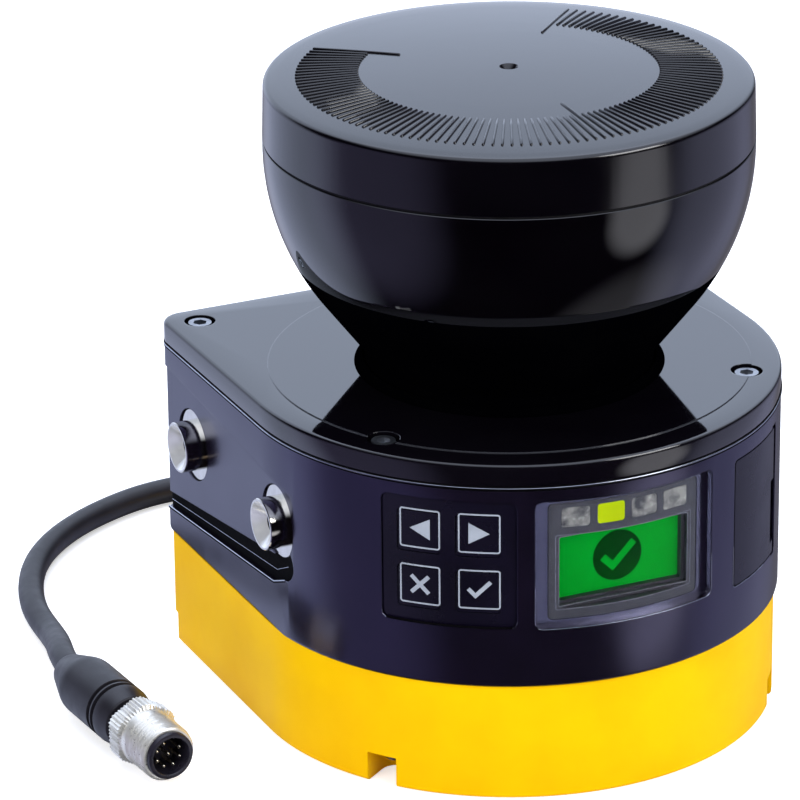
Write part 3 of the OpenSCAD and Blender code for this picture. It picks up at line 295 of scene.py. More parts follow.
# %% [markdown]
# ## The flared optics cover
#
# The laser looks out through a thin polished shell: a cone that rises from the cover plate and
# bends into a bowl. Being polished, it shows the smallest flat facet, so it is turned here from a
# profile with many points, and in so many steps round the axis that its outline stays round. Its
# wall is 3 mm thick and closed, with a ledge inside for the motor's bracket.
#
# Below the bowl the cone is a light trap, which swallows stray light: its faces get a second
# finish that mirrors nothing. The small cove that rounds the corner between foot and plate gets
# the same one.

# %% Optics cover
CAP_Z, DECK_Z, COVER_Z, HEAD_R, RIM_ROUND = 122.5, 73.5, 68.5, 50.0, 0.12
CONE_ANGLE, BOWL_R, BOWL_MID = 37.5, 51.0, (-1.0, 121.1)
FOOT_R, FOOT_FLANGE_R, FILLET_Z, WALL = 30.2, 33.2, 77.1, 3.0
FLANGE_H, LEDGE_W, LEDGE_H, TRAP_Z = 2, 1.5, 2.5, 97.9
COVE_AT, COVE_Z, COVE_R, COVE_IN = 32.0, 75.1, 1.6, 30.25


def foot_fillet(steps=8):
    """Quarter of an ellipse from the upright foot to the cone's lower end."""
    cone_top = BOWL_MID + BOWL_R * np.array([np.cos(radians(CONE_ANGLE)),
                                             -np.sin(radians(CONE_ANGLE))])
    low_r = cone_top[0] - (cone_top[1] - FILLET_Z) * np.tan(radians(CONE_ANGLE))
    t = np.radians(np.linspace(90, 0, steps + 1))
    return np.stack([low_r + (FOOT_R - low_r) * (1 - np.cos(t)), FILLET_Z - 3 * np.sin(t)], -1)


fillet = foot_fillet()
optics_profile = np.vstack([
    [(FOOT_FLANGE_R, COVER_Z), (FOOT_FLANGE_R, COVER_Z + FLANGE_H), (FOOT_R, COVER_Z + FLANGE_H)],
    fillet, arc(*BOWL_MID, BOWL_R, -CONE_ANGLE, 0, 32),
    [(HEAD_R, CAP_Z - RIM_ROUND), (HEAD_R - RIM_ROUND, CAP_Z)],
    [(HEAD_R - LEDGE_W, CAP_Z), (HEAD_R - LEDGE_W, CAP_Z - LEDGE_H)],
    arc(BOWL_MID[0] - WALL, BOWL_MID[1], BOWL_R, -1.24, -CONE_ANGLE, 24),
    [(fillet[-1][0] - WALL, FILLET_Z), (fillet[-1][0] - WALL, COVER_Z)]])
optics_shell = lathe("optics_shell", optics_profile, 240, closed=True, sharp=40)
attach(optics_shell, "scanner")
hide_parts("optics_cover")
second_faces = {optics_shell: face_middles(optics_shell)[:, 2] < TRAP_Z}
cove_profile = np.vstack([[(COVE_AT, DECK_Z - 0.4)], arc(COVE_AT, COVE_Z, COVE_R, 270, 180, 8),
                          [(COVE_IN, COVE_Z), (COVE_IN, DECK_Z - 0.4)]])
foot_cove = lathe("foot_cove", cove_profile, 160, closed=True, sharp=40)
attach(foot_cove, "scanner")
print("optics shell:", len(optics_shell.data.polygons), "faces")

# %% [markdown]
# ## The cap and its angle scale
#
# The cap is a shallow dome with a band round it. On the dome stand fine ribs, one every 2.5
# degrees, that mark the 275 degrees which the scanner watches; the first, the last and the one
# in the middle are longer. Ribs could be separate little bars, but then their feet would cut
# through the dome. Here dome and ribs are one surface: height is a function of radius and angle,
# and the grid's columns follow the ribs' sides, so that each rib has a clean round back.

# %% Cap
CAP_LOW, RIM_Z, CAP_TOP_R, RIM_R = 123.0, 134.8, 49.7, 1.2
DOME_H, HOLE_DEEP, PITCH, MARKS = 2.1, 1.6, 2.5, 55
RIB_H, RIB_HALF, RIB_OUT, RIB_IN, RIB_LONG = 0.38, 0.3, 42.9, 30.6, 24.0
dome_r = (CAP_TOP_R**2 + DOME_H**2) / (2 * DOME_H)


def dome(r):
    """Height of a shallow sphere: apex - R + sqrt(R^2 - r^2)."""
    return RIM_Z + DOME_H - dome_r + np.sqrt(dome_r**2 - np.square(r))


def near_end(r, sign):
    """Four radii close together, where a rib's round end meets the dome."""
    return [r + sign * step for step in (0, 0.15, 0.26, 0.3)]


def cap_grid():
    """Columns: for each mark seven lines along the rib, side * s / r from its middle, and one
    halfway to the next. Height: dome(r) + h * sqrt(1 - (s^2 + e^2) / half^2), e past the end."""
    mark = np.repeat(np.arange(-72, 72), 8)
    side = np.tile([-0.30, -0.27, -0.17, 0, 0.17, 0.27, 0.30, np.nan], 144)
    rim = arc(CAP_TOP_R - RIM_R, RIM_Z - RIM_R, RIM_R, 0, 80, 8)
    top = ([46.5] + near_end(RIB_OUT, 1)[::-1] + [40, 37, 34] + near_end(RIB_IN, -1)
           + [27.5] + near_end(RIB_LONG, -1) + [19, 12, 6, 2.3, 1.95])
    low = [(HEAD_R - WALL, RIM_Z - WALL), (HEAD_R - WALL, CAP_LOW),
           (HEAD_R - RIM_ROUND, CAP_LOW), (HEAD_R, CAP_LOW + RIM_ROUND)]
    r = np.concatenate([[q[0] for q in low], rim[:, 0], top, [1.8, 0.9]])
    z = np.concatenate([[q[1] for q in low], rim[:, 1], dome(np.array(top)),
                        dome(0) - np.array([0.15, HOLE_DEEP])])
    spread = np.where(np.isnan(side), radians(PITCH) / 2,
                      np.nan_to_num(side) / np.clip(r, RIB_LONG, None)[:, None])
    angle = radians(PITCH) * mark + spread
    start = np.where(np.isin(mark, (-MARKS, 0, MARKS)), RIB_LONG, RIB_IN)
    past = np.maximum(0, np.maximum(r[:, None] - RIB_OUT, start - r[:, None]))
    height = np.sqrt(np.clip(1 - (np.square(side) + past**2) / RIB_HALF**2, 0, None))
    height = np.where((np.abs(mark) <= MARKS) & ~np.isnan(side), RIB_H * height, 0)
    return np.stack([r[:, None] * np.sin(angle), -r[:, None] * np.cos(angle),
                     z[:, None] + np.nan_to_num(height)], -1)


def make_cap():
    """The grid closed by a point on the axis at each end: under the roof and in the small hole."""
    grid = cap_grid()
    rows, columns = grid.shape[:2]
    faces = grid_faces(rows, columns, False, True)
    k = np.arange(columns)
    under, hole = rows * columns, rows * columns + 1
    base = (rows - 1) * columns
    faces += np.stack([np.full(columns, under), (k + 1) % columns, k], -1).tolist()
    faces += np.stack([np.full(columns, hole), base + k, base + (k + 1) % columns], -1).tolist()
    points = np.vstack([grid.reshape(-1, 3), [(0, 0, RIM_Z - WALL), (0, 0, dome(0) - HOLE_DEEP)]])
    return new_piece("scale_cap", points, faces, 40)


scale_cap = make_cap()
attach(scale_cap, "scanner")
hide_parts("optics_cap")
print("cap:", len(scale_cap.data.polygons), "faces,", 2 * MARKS + 1, "ribs")

# %% [markdown]
# ## Turned mounting bushes
#
# Two bright bushes stand out of each side. A bush is turned on a lathe, so it is a profile here:
# a flange let into the wall, a barrel, a thin lip, a wide countersink and a threaded bore. The
# thread is drawn as rings and not as a helix, because in a bore this small only its light and
# dark lines show. The countersink's turning marks scatter light, so it gets a finish of its own.

# %% Side bushes
BUSH_R, BUSH_FLANGE_R, BUSH_REACH, BUSH_LEN, BORE_R = 5.4, 7.6, 3.7, 13.0, 2.1
BUSH_X, BUSH_Z, BUSH_YS = 54.6, 49.15, (-4.6, 39.8)
FLANGE_LOW, FLANGE_TOP, FLANGE_ROUND = -1.6, -0.4, 0.1
CONE_DEEP, CONE_END_R, BORE_END = 2.5, BORE_R + 0.4, -8.3
RING_DEEP, RING_STEP, RINGS = 0.3, 0.4, 21


def bush_profile():
    """Up the outside with the flange, over the lip, down the cone and the thread's rings."""
    flange = [(BUSH_R, FLANGE_LOW), (BUSH_FLANGE_R - FLANGE_ROUND, FLANGE_LOW),
              (BUSH_FLANGE_R, FLANGE_LOW + FLANGE_ROUND),
              (BUSH_FLANGE_R, FLANGE_TOP - FLANGE_ROUND),
              (BUSH_FLANGE_R - FLANGE_ROUND, FLANGE_TOP), (BUSH_R, FLANGE_TOP)]
    lip = [(BUSH_R, BUSH_REACH - 0.15), (BUSH_R - 0.15, BUSH_REACH), (BUSH_R - 0.55, BUSH_REACH),
           (BUSH_R - 0.7, BUSH_REACH - 0.12), (CONE_END_R, BUSH_REACH - CONE_DEEP)]
    thread = [(BORE_R + RING_DEEP * (k % 2), BUSH_REACH - CONE_DEEP - 0.5 - RING_STEP * k)
              for k in range(RINGS)]
    return ([(0, -BUSH_LEN), (BUSH_R, -BUSH_LEN)] + flange + lip + thread
            + [(BORE_R, -7.0), (BORE_R, BORE_END), (0, BORE_END)])


def side_bushes(name, side):
    """Two bushes whose axis points out of the wall: side -1 is the left wall, 1 the right."""
    shells = [lathe_shell(bush_profile(), 96,
                          shift(side * BUSH_X, y, BUSH_Z) @ turn("Y", side * 90))
              for y in BUSH_YS]
    piece = new_piece(name, *join_shells(shells), 30)
    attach(piece, "scanner")
    return piece


turned_left = side_bushes("turned_bushes_left", -1)
turned_right = side_bushes("turned_bushes_right", 1)
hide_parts("side_bushes_left")
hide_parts("side_bushes_right")


def in_countersink(piece):
    """Faces of the cone: their middle is farther from a bush's axis than the bore, and nearer
    than the lip."""
    middle = face_middles(piece)
    away = np.min([np.hypot(middle[:, 1] - y, middle[:, 2] - BUSH_Z) for y in BUSH_YS], 0)
    return (away < BUSH_R - 0.6) & (away > CONE_END_R) & (np.abs(middle[:, 0]) > BUSH_X)


second_faces.update({piece: in_countersink(piece) for piece in (turned_left, turned_right)})
print("bushes:", len(turned_left.data.polygons), "faces a side")

# %% [markdown]
# ## The plug
#
# The cable ends in an M12 plug. Its body is moulded round the cable, with a soft shoulder and two
# grip grooves. The coupling sleeve has a fluted hexagon for the fingers and a thread of 1 mm
# pitch. The thread is a true helix: radius is a function of height minus turn, so one grid of
# points makes it without a seam. The pins have round tips, which is where they catch the light.

# %% Plug
PLUG = shift(-87.3, 31.4, 7.1) @ turn("Z", 4.5) @ turn("X", 90)
PLUG_R, NECK_R, SLEEVE_R, HEX_R, TUBE_R = 6.4, 4.4, 6.0, 7.1, 5.0
HEX_AT, THREAD_AT, FACE_AT = 31.5, 36.5, 46.0
FLUTE_DEEP, FLUTES, SLEEVE_THREAD, PLAY = 0.16, 54, 0.3, 0.05


def grip_groove(at):
    """A groove 1 mm wide and 0.7 mm deep, its corners a little rounded."""
    return [(PLUG_R, at), (PLUG_R - 0.1, at + 0.05), (PLUG_R - 0.65, at + 0.12),
            (PLUG_R - 0.7, at + 0.3), (PLUG_R - 0.7, at + 0.8), (PLUG_R - 0.65, at + 1.0),
            (PLUG_R - 0.15, at + 1.08), (PLUG_R - 0.08, at + 1.15)]


body_profile = np.vstack([
    [(0, 2.4), (CABLE_D / 2 + 0.02, 2.4), (CABLE_D / 2 + 0.1, 0.5), (CABLE_D / 2 + 0.4, 0.05),
     (CABLE_D / 2 + 0.75, 0), (CABLE_D / 2 + 0.95, 0.25), (CABLE_D / 2 + 1.2, 0.8)],
    [(5.85, 6.6), (6.1, 7.4), (6.28, 8.2), (6.37, 9.0), (PLUG_R, 9.8)],
    grip_groove(21), grip_groove(22.7),
    [(PLUG_R, 24.0), (PLUG_R, 25), (PLUG_R - 0.2, 26.2), (PLUG_R - 0.7, 28.7),
     (PLUG_R - 1.0, 29), (NECK_R, 29), (NECK_R, THREAD_AT), (0, THREAD_AT)]])
moulded_body = lathe("moulded_body", body_profile, 96, PLUG, sharp=28)
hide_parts("plug_body")
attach(moulded_body, "scanner")


def hexagon(flat, corner, t):
    """Radius at the angle t: flat / cos(angle to the flat's middle), cut off at the corners."""
    return np.minimum(flat / np.cos((t + pi / 6) % (pi / 3) - pi / 6), corner)


def sleeve_grid(columns=240):
    """The rows are heights: first the fluted hexagon, then a collar, the thread, and back down the
    inside. Flutes: minus depth * (1 + cos 54 t). Thread: minus depth times the distance of
    (height - turn) to the nearest crest."""
    t = np.arange(columns) * 2 * pi / columns
    grip = hexagon(HEX_R - 0.55, HEX_R, t) - FLUTE_DEEP * (1 + np.cos(FLUTES * t))
    z = np.concatenate([[HEX_AT, HEX_AT + 0.35, 33.2, 35.0, THREAD_AT - 0.45, THREAD_AT],
                        [37.0, 37.9, 38.4], np.linspace(38.6, 45.2, 50), [45.7, FACE_AT]])
    radius = np.empty((len(z), columns))
    radius[0], radius[5] = HEX_R - 1.0, HEX_R - 1.0
    radius[1:5] = grip
    radius[6:9] = np.array([SLEEVE_R + 0.1, SLEEVE_R + 0.05, SLEEVE_R - 0.1])[:, None]
    crest = np.abs((z[:, None] - t / (2 * pi)) % 1.0 - 0.5) * 2
    radius[9:] = SLEEVE_R - SLEEVE_THREAD * crest[9:]
    radius[-2], radius[-1] = SLEEVE_R - 0.25, SLEEVE_R - 0.6
    inner = [(FACE_AT, TUBE_R + PLAY), (THREAD_AT, TUBE_R + PLAY),
             (THREAD_AT - PLAY, NECK_R + PLAY), (HEX_AT, NECK_R + PLAY)]
    z = np.concatenate([z, [q[0] for q in inner]])
    radius = np.vstack([radius, np.array([q[1] for q in inner])[:, None] + 0 * t])
    return ring_grid(radius, z, columns)


sleeve = sleeve_grid()
coupling = new_piece("coupling_ring", placed(sleeve, PLUG),
                     grid_faces(*sleeve.shape[:2], True, True), 40)
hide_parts("plug_sleeve")
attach(coupling, "coupling_sleeve")
print("coupling ring:", len(coupling.data.polygons), "faces")

# %% [markdown]
# Inside the sleeve a black tube carries eight gold pins: seven in a circle and one in the middle.

# %% Insert and pins
TUBE_END, TUBE_IN, TUBE_FLOOR = 47.2, 4.0, 41.2
insert_profile = [(0, THREAD_AT), (TUBE_R, THREAD_AT), (TUBE_R, 46.9), (TUBE_R - 0.1, 47.12),
                  (TUBE_R - 0.3, TUBE_END), (TUBE_IN + 0.15, TUBE_END), (TUBE_IN, 47.05),
                  (TUBE_IN, 41.3), (TUBE_IN - 0.1, TUBE_FLOOR), (0, TUBE_FLOOR)]
insert_tube = lathe("insert_tube", insert_profile, 96, PLUG, sharp=30)
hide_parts("plug_insert")
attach(insert_tube, "scanner")
PIN_R, PIN_CIRCLE, PIN_FOOT, PIN_TIP = 0.42, 2.75, 37.5, 45.6
pin_profile = np.vstack([[(0, PIN_FOOT), (PIN_R, PIN_FOOT)], arc(0, PIN_TIP, PIN_R, 0, 90, 5)])
pin_profile[-1, 0] = 0
pin_places = [turn("Z", 112 + 45 * i) @ shift(PIN_CIRCLE, 0, 0) for i in range(7)] + [Matrix()]
pins = new_piece("contact_pins", *join_shells([lathe_shell(pin_profile, 20, PLUG @ at)
                                               for at in pin_places]), 40)
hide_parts("plug_pins")
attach(pins, "scanner")
print("pins:", len(pin_places))

# %% [markdown]
# ## Gland and strain relief
#
# At the back the cable leaves through a hexagonal gland. A ribbed rubber cone behind it keeps the
# cable from being bent sharply where it leaves. Both are turned from profiles along the gland's
# axis; for the gland, each ring of the lathe is pushed out to a hexagon with rounded corners.

# %% Gland and relief
GLAND = shift(32, 51, 34) @ turn("X", -90)
GLAND_IN, GLAND_FACE = CABLE_D / 2 + 0.5, 8.0
GLAND_BARREL, GLAND_FLAT, GLAND_CORNER = 4.98, 6.06, 6.8


def gland_grid(columns=96):
    """Round barrel, then a hexagon whose outer corners are turned down, as on a nut."""
    across = hexagon(GLAND_FLAT, GLAND_CORNER, np.arange(columns) * 2 * pi / columns)
    rows = [(0, GLAND_BARREL), (4, GLAND_BARREL), (4, across), (7.4, across),
            (7.9, across * 0.94), (GLAND_FACE, across * 0.9), (GLAND_FACE, 3.6),
            (7.8, GLAND_IN), (0, GLAND_IN)]
    radius = np.stack([q[1] + 0 * across for q in rows])
    return ring_grid(radius, np.array([q[0] for q in rows], float), columns)


gland_nut = new_piece("gland_nut", placed(gland_grid(), GLAND), grid_faces(9, 96, True, True), 30)
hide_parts("cable_gland")
RELIEF_R, RELIEF_END = CABLE_D / 2 + 1.8, 18
ribs = [(RELIEF_R - 0.13 * k - (0.35 if k % 2 else 0), GLAND_FACE + 0.5 + k)
        for k in range(9)]
relief_profile = ([(GLAND_IN - 0.02, 0), (GLAND_IN - 0.02, GLAND_FACE + 0.02),
                   (RELIEF_R, GLAND_FACE + 0.02)] + ribs
                  + [(CABLE_D / 2 + 0.5, RELIEF_END - 0.2), (CABLE_D / 2 + 0.3, RELIEF_END),
                     (CABLE_D / 2 + 0.1, RELIEF_END), (CABLE_D / 2 + 0.1, 0)])
ribbed_relief = lathe("ribbed_relief", relief_profile, 64, GLAND, closed=True, sharp=50)
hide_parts("strain_relief")
for piece in (gland_nut, ribbed_relief):
    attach(piece, "scanner")
print("gland and relief made")

# %% [markdown]
# ## Printed marks on the keys
#
# Each key carries a thin printed square and a sign: arrow left, arrow right, cross and tick. Ink
# is a film with almost no thickness, but it has an edge, so it is made as a slab 0.07 mm proud
# that follows the key's curve. A flat outline is bent round the panel's axis: a point u along
# and v up goes to (u, -sqrt(R^2 - u^2), v).

# %% Key marks
PANEL_R, KEY_W, KEY_PITCH, KEYPAD_AZ, KEYPAD_Z = 55.6, 8.6, 12.1, 38.6, 51.65
INK, PRINT_TURN, PRINT_UP = 0.07, 0.35, 0.7
SQUARE, SQUARE_LINE, SQUARE_CORNER = KEY_W - 0.12, 0.32, 0.6


def bent(outline, radius):
    """Outline laid on an upright cylinder: (u, v) to (u, -sqrt(R^2 - u^2), v)."""
    u, v = np.asarray(outline, float).T
    return np.stack([u, -np.sqrt(radius**2 - u**2), v], -1)


def square_line(front, back):
    """Square drawn as a line: outer and inner edge, in front and behind, joined to a ring."""
    outer = rounded_rectangle(SQUARE, SQUARE, SQUARE_CORNER, 8)
    inner = rounded_rectangle(SQUARE - 2 * SQUARE_LINE, SQUARE - 2 * SQUARE_LINE,
                              SQUARE_CORNER - SQUARE_LINE, 8)
    rows = [bent(outer, front), bent(inner, front), bent(inner, back), bent(outer, back)]
    return np.vstack(rows), [face[::-1] for face in grid_faces(4, len(outer), True, True)]


def tick(size, stroke):
    """Two strokes at a right angle, turned by 45 degrees; size is the long stroke's length."""
    h, a, b = stroke / 2, size * 0.48, size
    line = np.array([(-h, -h), (b, -h), (b, h), (h, h), (h, a), (-h, a)])
    turned = line @ np.array([[1, 1], [-1, 1]]) / np.sqrt(2)
    return turned - (turned.max(0) + turned.min(0)) / 2


def cross(size, stroke):
    """Two bars of the same length across each other, turned by 45 degrees."""
    h, a = stroke / 2, size / 2
    line = np.array([(h, h), (h, a), (-h, a), (-h, h), (-a, h), (-a, -h), (-h, -h), (-h, -a),
                     (h, -a), (h, -h), (a, -h), (a, h)])
    return line @ np.array([[1, 1], [-1, 1]]) / np.sqrt(2)


STROKE = 0.85
arrow = np.array([(2.15, -2.25), (2.15, 2.25), (-2.1, 0)])
signs = {"key_left": (-1, 1, arrow), "key_right": (1, 1, -arrow),
         "key_cancel": (-1, -1, cross(5.2, STROKE)), "key_confirm": (1, -1, tick(4.3, STROKE))}
ink_front, ink_back = PANEL_R + INK, PANEL_R - 0.03
ink_marks = []
for key, (column, row, sign) in signs.items():
    turn_by = -KEYPAD_AZ + column * degrees(np.arcsin(KEY_PITCH / 2 / PANEL_R)) + PRINT_TURN
    at = turn("Z", turn_by) @ shift(0, 0, KEYPAD_Z + row * KEY_PITCH / 2 + PRINT_UP)
    points, faces = join_shells([square_line(ink_front, ink_back),
                                 filled(bent(sign, ink_front), bent(sign, ink_back))])
    mark = new_piece(key + "_print", placed(points, at), faces, 30)
    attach(mark, key + "_cap")
    ink_marks.append(mark)
print("key marks:", [m.name for m in ink_marks])

# %% [markdown]
# ## The display behind the pane
#
# The screen shows a dark round field with a tick. On a real screen that is only colour, and here
# it is two films, each 0.05 mm in front of the other. The moulded frame round the screen steps
# back in thin ledges, whose edges draw the fine pale lines that show through the pane. Each edge
# gets a lip, a thin tube along a rectangle with round corners, in a paler plastic than the frame:
# its line is partly the lip's own rounding catching the light and partly painted highlight.

# %% Screen sign and ledges
SCREEN_Y, SCREEN_Z, DISC_R, FILM = -49.2, 49.05, 5.4, 0.05
LIP_CORNER, LIP_R = 0.4, 0.11
INNER_LIP_Y, OUTER_LIP_R = -51.8, 53.85


def film(outline, y):
    """Flat outline whose face stands FILM in front of y, with its back a little behind y."""
    u, v = outline.T
    front = np.stack([u, 0 * u + y - FILM, v + SCREEN_Z], -1)
    return filled(front, front + (0, FILM + 0.03, 0))


screen_disc = new_piece("screen_disc", *film(arc(0, 0, DISC_R, 0, 357, 119), SCREEN_Y), 30)
screen_tick = new_piece("screen_tick", *film(tick(6.6, 1.55) + (0.2, -0.1), SCREEN_Y - FILM), 30)
for piece in (screen_disc, screen_tick):
    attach(piece, "scanner")


def ledge_lip(width, height, y_of_x):
    """Thin tube along a rounded rectangle, its rings spread outwards and in depth. The outward
    direction is the line's own direction (x, z) turned by a right angle, (z, -x)."""
    x, z = rounded_rectangle(width, height, LIP_CORNER, 12).T
    along_x, along_z = (np.roll(v, -1) - np.roll(v, 1) for v in (x, z))
    out = unit(np.stack([along_z, 0 * x, -along_x], -1))
    line = np.stack([x, y_of_x(x), z + SCREEN_Z], -1)
    return rope(line, out, np.array([[0, -1.0, 0]]), LIP_R, 8, True)


lips = [ledge_lip(28.5, 15.0, lambda x: 0 * x + INNER_LIP_Y),
        ledge_lip(29.9, 16.1, lambda x: -np.sqrt(OUTER_LIP_R**2 - x**2))]
frame_lips = new_piece("frame_lips", *join_shells(lips), 60)
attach(frame_lips, "scanner")
print("screen sign and", len(lips), "lips made")

# %% [markdown]
# ## Painted edge highlights
#
# The edges catch the light in bright lines: along the housing's upper edge, under the cover plate,
# and on the lower edges of the openings for keys, display and flap. Each line is a painted
# highlight: a fine bead of bright metal, a tube carried along the edge. Matt black lines of painted
# shade run above and below the upper bead in the seam, and a third along the keypad's lower edge.

# %% Edge beads
BODY_R, BODY_BACK, CORNER, EDGE_Z = 56.0, 55.0, 5.0, 68.28
# Bead radii: three bright beads of painted highlight, then the dark lines of painted shade.
SEAM_BEAD, KEYPAD_BEAD, FINE_BEAD, SEAM_SHADE, KEYPAD_SHADE = 0.2, 0.09, 0.07, 0.17, 0.24
# Openings: azimuth, height of the middle, width, height, corner radius.
KEYPAD_OPENING = (-KEYPAD_AZ, KEYPAD_Z, 27.7, 27.3, 1.5)
WINDOW_OPENING = (0, 51.45, 39.5, 27.7, 1.6)
FLAP_OPENING = (39.2, 50.45, 21.7, 28.1, 1.0)


def bead(line, radius, closed, sides=8):
    """Tube whose rings spread along the wall and away from the z axis. The line may not run
    straight towards that axis."""
    along = np.roll(line, -1, 0) - np.roll(line, 1, 0) if closed else np.gradient(line, axis=0)
    along = unit(along)
    up = unit(np.cross(along, unit(line * (1, 1, 0))))
    return rope(line, np.cross(up, along), up, radius, sides, closed)


def body_edge(inset, z):
    """The body's outline from above: a half circle in front, two straight sides, round corners."""
    r, back, c = BODY_R - inset, BODY_BACK - inset, CORNER - inset
    front = arc(0, 0, r, 180, 360, 96)
    side = np.linspace(2, back - c - 2, 12)
    right = np.stack([np.full(12, r), side], -1)
    rear = np.stack([np.linspace(r - c - 2, c + 2 - r, 20), np.full(20, back)], -1)
    line = np.vstack([front, right, arc(r - c, back - c, c, 0, 90, 8), rear,
                      arc(c - r, back - c, c, 90, 180, 8), right[::-1] * (-1, 1)])
    return np.column_stack([line, np.full(len(line), z)])


def lower_edge(azimuth, z, width, height, corner):
    """A third of the left side, the lower side and a third of the right side of an opening."""
    w, h, side = width / 2, height / 2, height / 3
    line = np.vstack([[(-w, -h + side), (-w, -h + 2 * corner)], arc(corner - w, corner - h, corner,
                                                                    180, 270, 5),
                      np.stack([np.linspace(corner - w + 1, w - corner - 1, 24),
                                np.full(24, -h)], -1),
                      arc(w - corner, corner - h, corner, 270, 360, 5),
                      [(w, -h + 2 * corner), (w, -h + side)]])
    return placed(bent(line, BODY_R), turn("Z", azimuth) @ shift(0, 0, z))


keypad_edge, window_edge, flap_edge = (
    lower_edge(*opening) for opening in (KEYPAD_OPENING, WINDOW_OPENING, FLAP_OPENING))
# Bright metal beads along the edges: painted highlights.
edge_lines = [bead(body_edge(0.0, EDGE_Z), SEAM_BEAD, True)]
edge_lines += [bead(line, KEYPAD_BEAD, False) for line in (keypad_edge[2:7], keypad_edge[-7:-2])]
# The flap's bead stops short of the hinge, where the flap swings through.
edge_lines += [bead(line, FINE_BEAD, False) for line in (window_edge, flap_edge[:-16])]
edge_beads = new_piece("edge_beads", *join_shells(edge_lines), 60)
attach(edge_beads, "scanner")
# Matt black lines above and below the seam bead and along the keypad: painted shade.
seam_shade_lines = new_piece("seam_shade_lines", *join_shells(
    [bead(body_edge(0.02, EDGE_Z + step), SEAM_SHADE, True) for step in (-0.36, 0.36)]
    + [bead(keypad_edge[6:-6] + (0, 0, 0.2), KEYPAD_SHADE, False)]), 60)
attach(seam_shade_lines, "scanner")
print("beads:", len(edge_lines))

# %% [markdown]
# ## Painted shade and highlights in the guide slots
#
# Each side wall has a guide slot that widens and rises towards the front. A matt black sheet lies
# in it as painted shade, and a fine bright line along its middle is a painted highlight. The slot's
# lower lip gets a bright bead of painted highlight, with a dark line of painted shade under it. The
# sheet is a thin plate cut to the slot's outline, and the middle line, the lip and the line under
# it are beads.

# %% Guide slot strips
HOUSING_Z, LIP_X, STRIP_X, STRIP_GAP, STRIP_THICK = 25.0, 54.97, 54.1, 0.05, 0.3
# Radii of the lip's highlight bead and of the painted shade line under it, its drop, the middle
# bead.
LIP_BEAD, LIP_SHADE, LIP_DROP, MID_HIGHLIGHT = 0.15, 0.14, 0.34, 0.07
# Stations of the slot, from the back: y, height above the housing's foot, half width.
SLOT_STATIONS = np.array([(53.5, 6.71, 1.68), (-3.0, 13.3, 3.0), (-8.9, 16.3, 3.5)])


def slot_outline():
    """Along the lower edge to the front, round the tip's circle and back along the upper edge."""
    y, z, r = SLOT_STATIONS.T - [[0], [0], [STRIP_GAP]]
    lower, upper = np.stack([y, z - r], -1), np.stack([y, z + r], -1)
    return np.vstack([lower[:2], arc(y[2], z[2], r[2], 270, 90, 14), upper[1::-1]])


def slot_line(side, x, share, drop=0.0):
    """Line along the slot: share 0 is its lower edge and 1 its upper edge."""
    t = np.linspace(0, 2, 41)
    y, z, r = (np.interp(t, range(3), station) for station in SLOT_STATIONS.T)
    return np.stack([np.full(41, side * x), y, HOUSING_Z + z + r * (2 * share - 1) - drop], -1)


def slot_strip(side):
    """Plate between two copies of the outline; side -1 is the left wall, 1 the right."""
    outline = slot_outline() + (0, HOUSING_Z)
    points, faces = filled(*(np.column_stack([np.full(len(outline), side * x), outline])
                             for x in (STRIP_X, STRIP_X - STRIP_THICK)))
    return points, faces if side < 0 else [face[::-1] for face in faces]


sides = (-1, 1)
# Dark sheets in the slots and the line under each lip: painted shade.
slot_strips = new_piece("slot_strips", *join_shells(
    [slot_strip(side) for side in sides]
    + [bead(slot_line(side, LIP_X, 0, LIP_DROP), LIP_SHADE, False) for side in sides]), 60)
# Bright beads on each lip and along the middle: painted highlights.
slot_lines = new_piece("slot_lines", *join_shells(
    [bead(slot_line(side, LIP_X, 0), LIP_BEAD, False) for side in sides]
    + [bead(slot_line(side, STRIP_X, 0.4), MID_HIGHLIGHT, False) for side in sides]), 60)
for piece, slot in ((slot_strips, "black_rubber"), (slot_lines, "black_casting")):
    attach(piece, "scanner")
print("slot strips:", len(slot_strips.data.polygons), "faces")

# %% [markdown]
# ## Colours and nodes
#
# Colours are written as sRGB hex, as they are picked from a colour card, and turned to linear
# light by one function. One more small function adds a node with its settings and links, so that
# a material reads as a short list.

# %% Material helpers
def colour(hexcode):
    """sRGB hex to linear light: c / 12.92 when dark, else ((c + 0.055) / 1.055) to the 2.4."""
    c = np.array([int(hexcode[k:k + 2], 16) for k in (1, 3, 5)]) / 255
    linear = np.where(c <= 0.04045, c / 12.92, ((c + 0.055) / 1.055) ** 2.4)
    return (*linear.tolist(), 1.0)


def add(tree, kind, links=None, settings=None, **values):
    """Node of a kind: links give socket sources, settings its properties, values its sockets."""
    node = tree.nodes.new("ShaderNode" + kind)
    for key, value in (settings or {}).items():
        setattr(node, key, value)
    for key, value in values.items():
        node.inputs[key.replace("_", " ")].default_value = value
    for key, source in (links or {}).items():
        tree.links.new(source, node.inputs[key])
    return node


def new_finish(name, base, roughness, metallic=0.0, **values):
    """Material with a Principled shader: its tree, shader and Object coordinates."""
    material = bpy.data.materials.new(name)
    material.use_nodes = True
    tree = material.node_tree
    shader = tree.nodes["Principled BSDF"]
    shader.inputs["Base Color"].default_value = colour(base)
    shader.inputs["Roughness"].default_value = roughness
    shader.inputs["Metallic"].default_value = metallic
    for key, value in values.items():
        shader.inputs[key.replace("_", " ")].default_value = value
    place = add(tree, "TexCoord").outputs["Object"]
    material.diffuse_color = colour(base)
    return material, tree, shader, place


